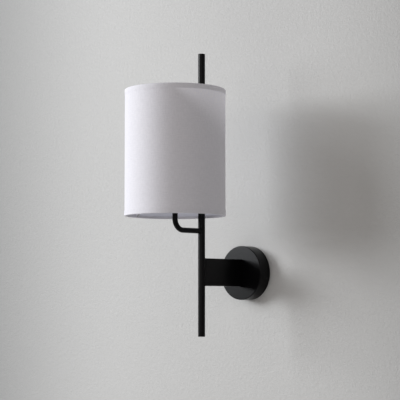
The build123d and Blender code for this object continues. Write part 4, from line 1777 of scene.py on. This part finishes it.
@dataclass
class Studio:
    """Wall, floor, soft lamps and the camera.

    Attributes:
        lens: The camera's focal length in millimetres.
        camera_place: Where the camera stands.
        camera_turn: Degrees by which it looks to the left of straight at the wall.
        camera_pitch: Degrees by which it looks up.
        wall_gap: Distance of the wall behind the canopy's back.
        wall_span: Width of the stage.
        wall_hole: Radius of the box opening behind the canopy.
        floor_level: Height of the floor.
        aim: Point that the lamps look at.
        lamps: The lamps.
        sky_tint: Colour of the even sky.
        sky_level: Its strength.
    """

    lens: float = 123.14
    camera_place: Point = (1.723647, -1.897731, -0.050960)
    camera_turn: float = 44.336
    camera_pitch: float = 4.198
    wall_gap: float = 0.0006
    wall_span: float = 5.0
    wall_hole: float = 0.044
    floor_level: float = -1.15
    aim: Point = (0.0, -0.15, 0.12)
    lamps: tuple[Softbox, ...] = (
        Softbox("key_softbox", 51.5, 11.5, 3.5, 1.9, 1.1, 82.0, (0.97, 1.0, 1.03)),
        Softbox("high_softbox", 51.5, 29.0, 3.5, 1.5, 1.2, 26.5, (0.97, 1.0, 1.03)),
        Softbox("front_softbox", 10.0, 10.0, 2.6, 2.2, 2.0, 11.8, (1.05, 1.0, 0.96)),
        Softbox("side_softbox", -50.0, 10.0, 2.6, 2.2, 2.0, 9.2, (1.05, 1.0, 0.97)),
        Softbox("rear_softbox", 165.0, 20.0, 1.3, 0.8, 0.8, 7.0, (1.0, 1.0, 1.0)))
    sky_tint: Colour = (1.03, 1.0, 0.97)
    sky_level: float = 0.08

    def plane(self, name: str, form: Form, place: Matrix, finish: Finish) -> None:
        """Adds a large flat stage piece that faces up before it is turned.

        Args:
            name: The piece's name.
            form: Its flat shape, round the origin.
            place: Turns and moves it.
            finish: Its paint.
        """
        if form.bm.faces[:][0].normal.z < 0:
            bmesh.ops.reverse_faces(form.bm, faces=form.bm.faces)
        mesh = bpy.data.meshes.new(name)
        form.move(place).bm.to_mesh(mesh)
        form.bm.free()
        mesh.materials.append(finish.material())
        piece = bpy.data.objects.new(name, mesh)
        bpy.context.scene.collection.objects.link(piece)

    def backdrop(self) -> None:
        """Adds the wall, with the round opening that the canopy covers, and a floor well below."""
        rings = [(self.wall_hole, 0.0), (self.wall_span * 0.7, 0.0)]
        wall = Form().spin(rings, 96, closed=False)
        upright = Matrix.Translation((0.0, self.wall_gap, 0.0)) @ INTO_ROOM
        self.plane("room_wall", wall, upright, WALL_PAINT)
        floor = Form()
        bmesh.ops.create_grid(floor.bm, x_segments=1, y_segments=1, size=self.wall_span / 2)
        lying = Matrix.Translation((0.0, -self.wall_span / 2, self.floor_level))
        self.plane("room_floor", floor, lying, FLOOR_PAINT)

    def light(self) -> None:
        """Adds two strong lamps on the left, weak ones round the light, and an even sky."""
        for softbox in self.lamps:
            softbox.light(Vector(self.aim))
        world = bpy.data.worlds.new("even_sky")
        world.use_nodes = True
        sky = world.node_tree.nodes["Background"]
        sky.inputs["Color"].default_value = (*self.sky_tint, 1.0)
        sky.inputs["Strength"].default_value = self.sky_level
        bpy.context.scene.world = world

    def camera(self) -> None:
        """Sets the camera at the photograph's viewing angle."""
        data = bpy.data.cameras.new("view_camera")
        data.lens = self.lens
        data.sensor_width = 36.0
        data.clip_start = 0.05
        data.clip_end = 30.0
        camera = bpy.data.objects.new("view_camera", data)
        camera.location = self.camera_place
        camera.rotation_euler = (pi / 2 + radians(self.camera_pitch), 0.0,
                                 radians(self.camera_turn))
        bpy.context.scene.collection.objects.link(camera)
        bpy.context.scene.camera = camera

    def build(self) -> None:
        """Sets up the whole studio."""
        bpy.context.scene.view_settings.view_transform = "Standard"
        self.camera()
        self.backdrop()
        self.light()


def dress_cad_nodes() -> None:
    """Gives each CAD node that stays in sight its finish."""
    for finish, names in CAD_FINISHES.items():
        for name in names:
            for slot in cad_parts[name].material_slots:
                slot.material = finish.material()
            logger.info("%s keeps its CAD shape in %s", name, finish.name)


def main() -> None:
    """Builds the studio and the light's sub-assemblies in order."""
    logging.basicConfig(level=logging.INFO, format="%(message)s")
    Studio().build()
    dress_cad_nodes()
    for assembly in (WallMount(), Frame(), Lampholder(), ShadeRing(), Lamp(), Shade()):
        assembly.build()


if __name__ == "__main__":
    main()
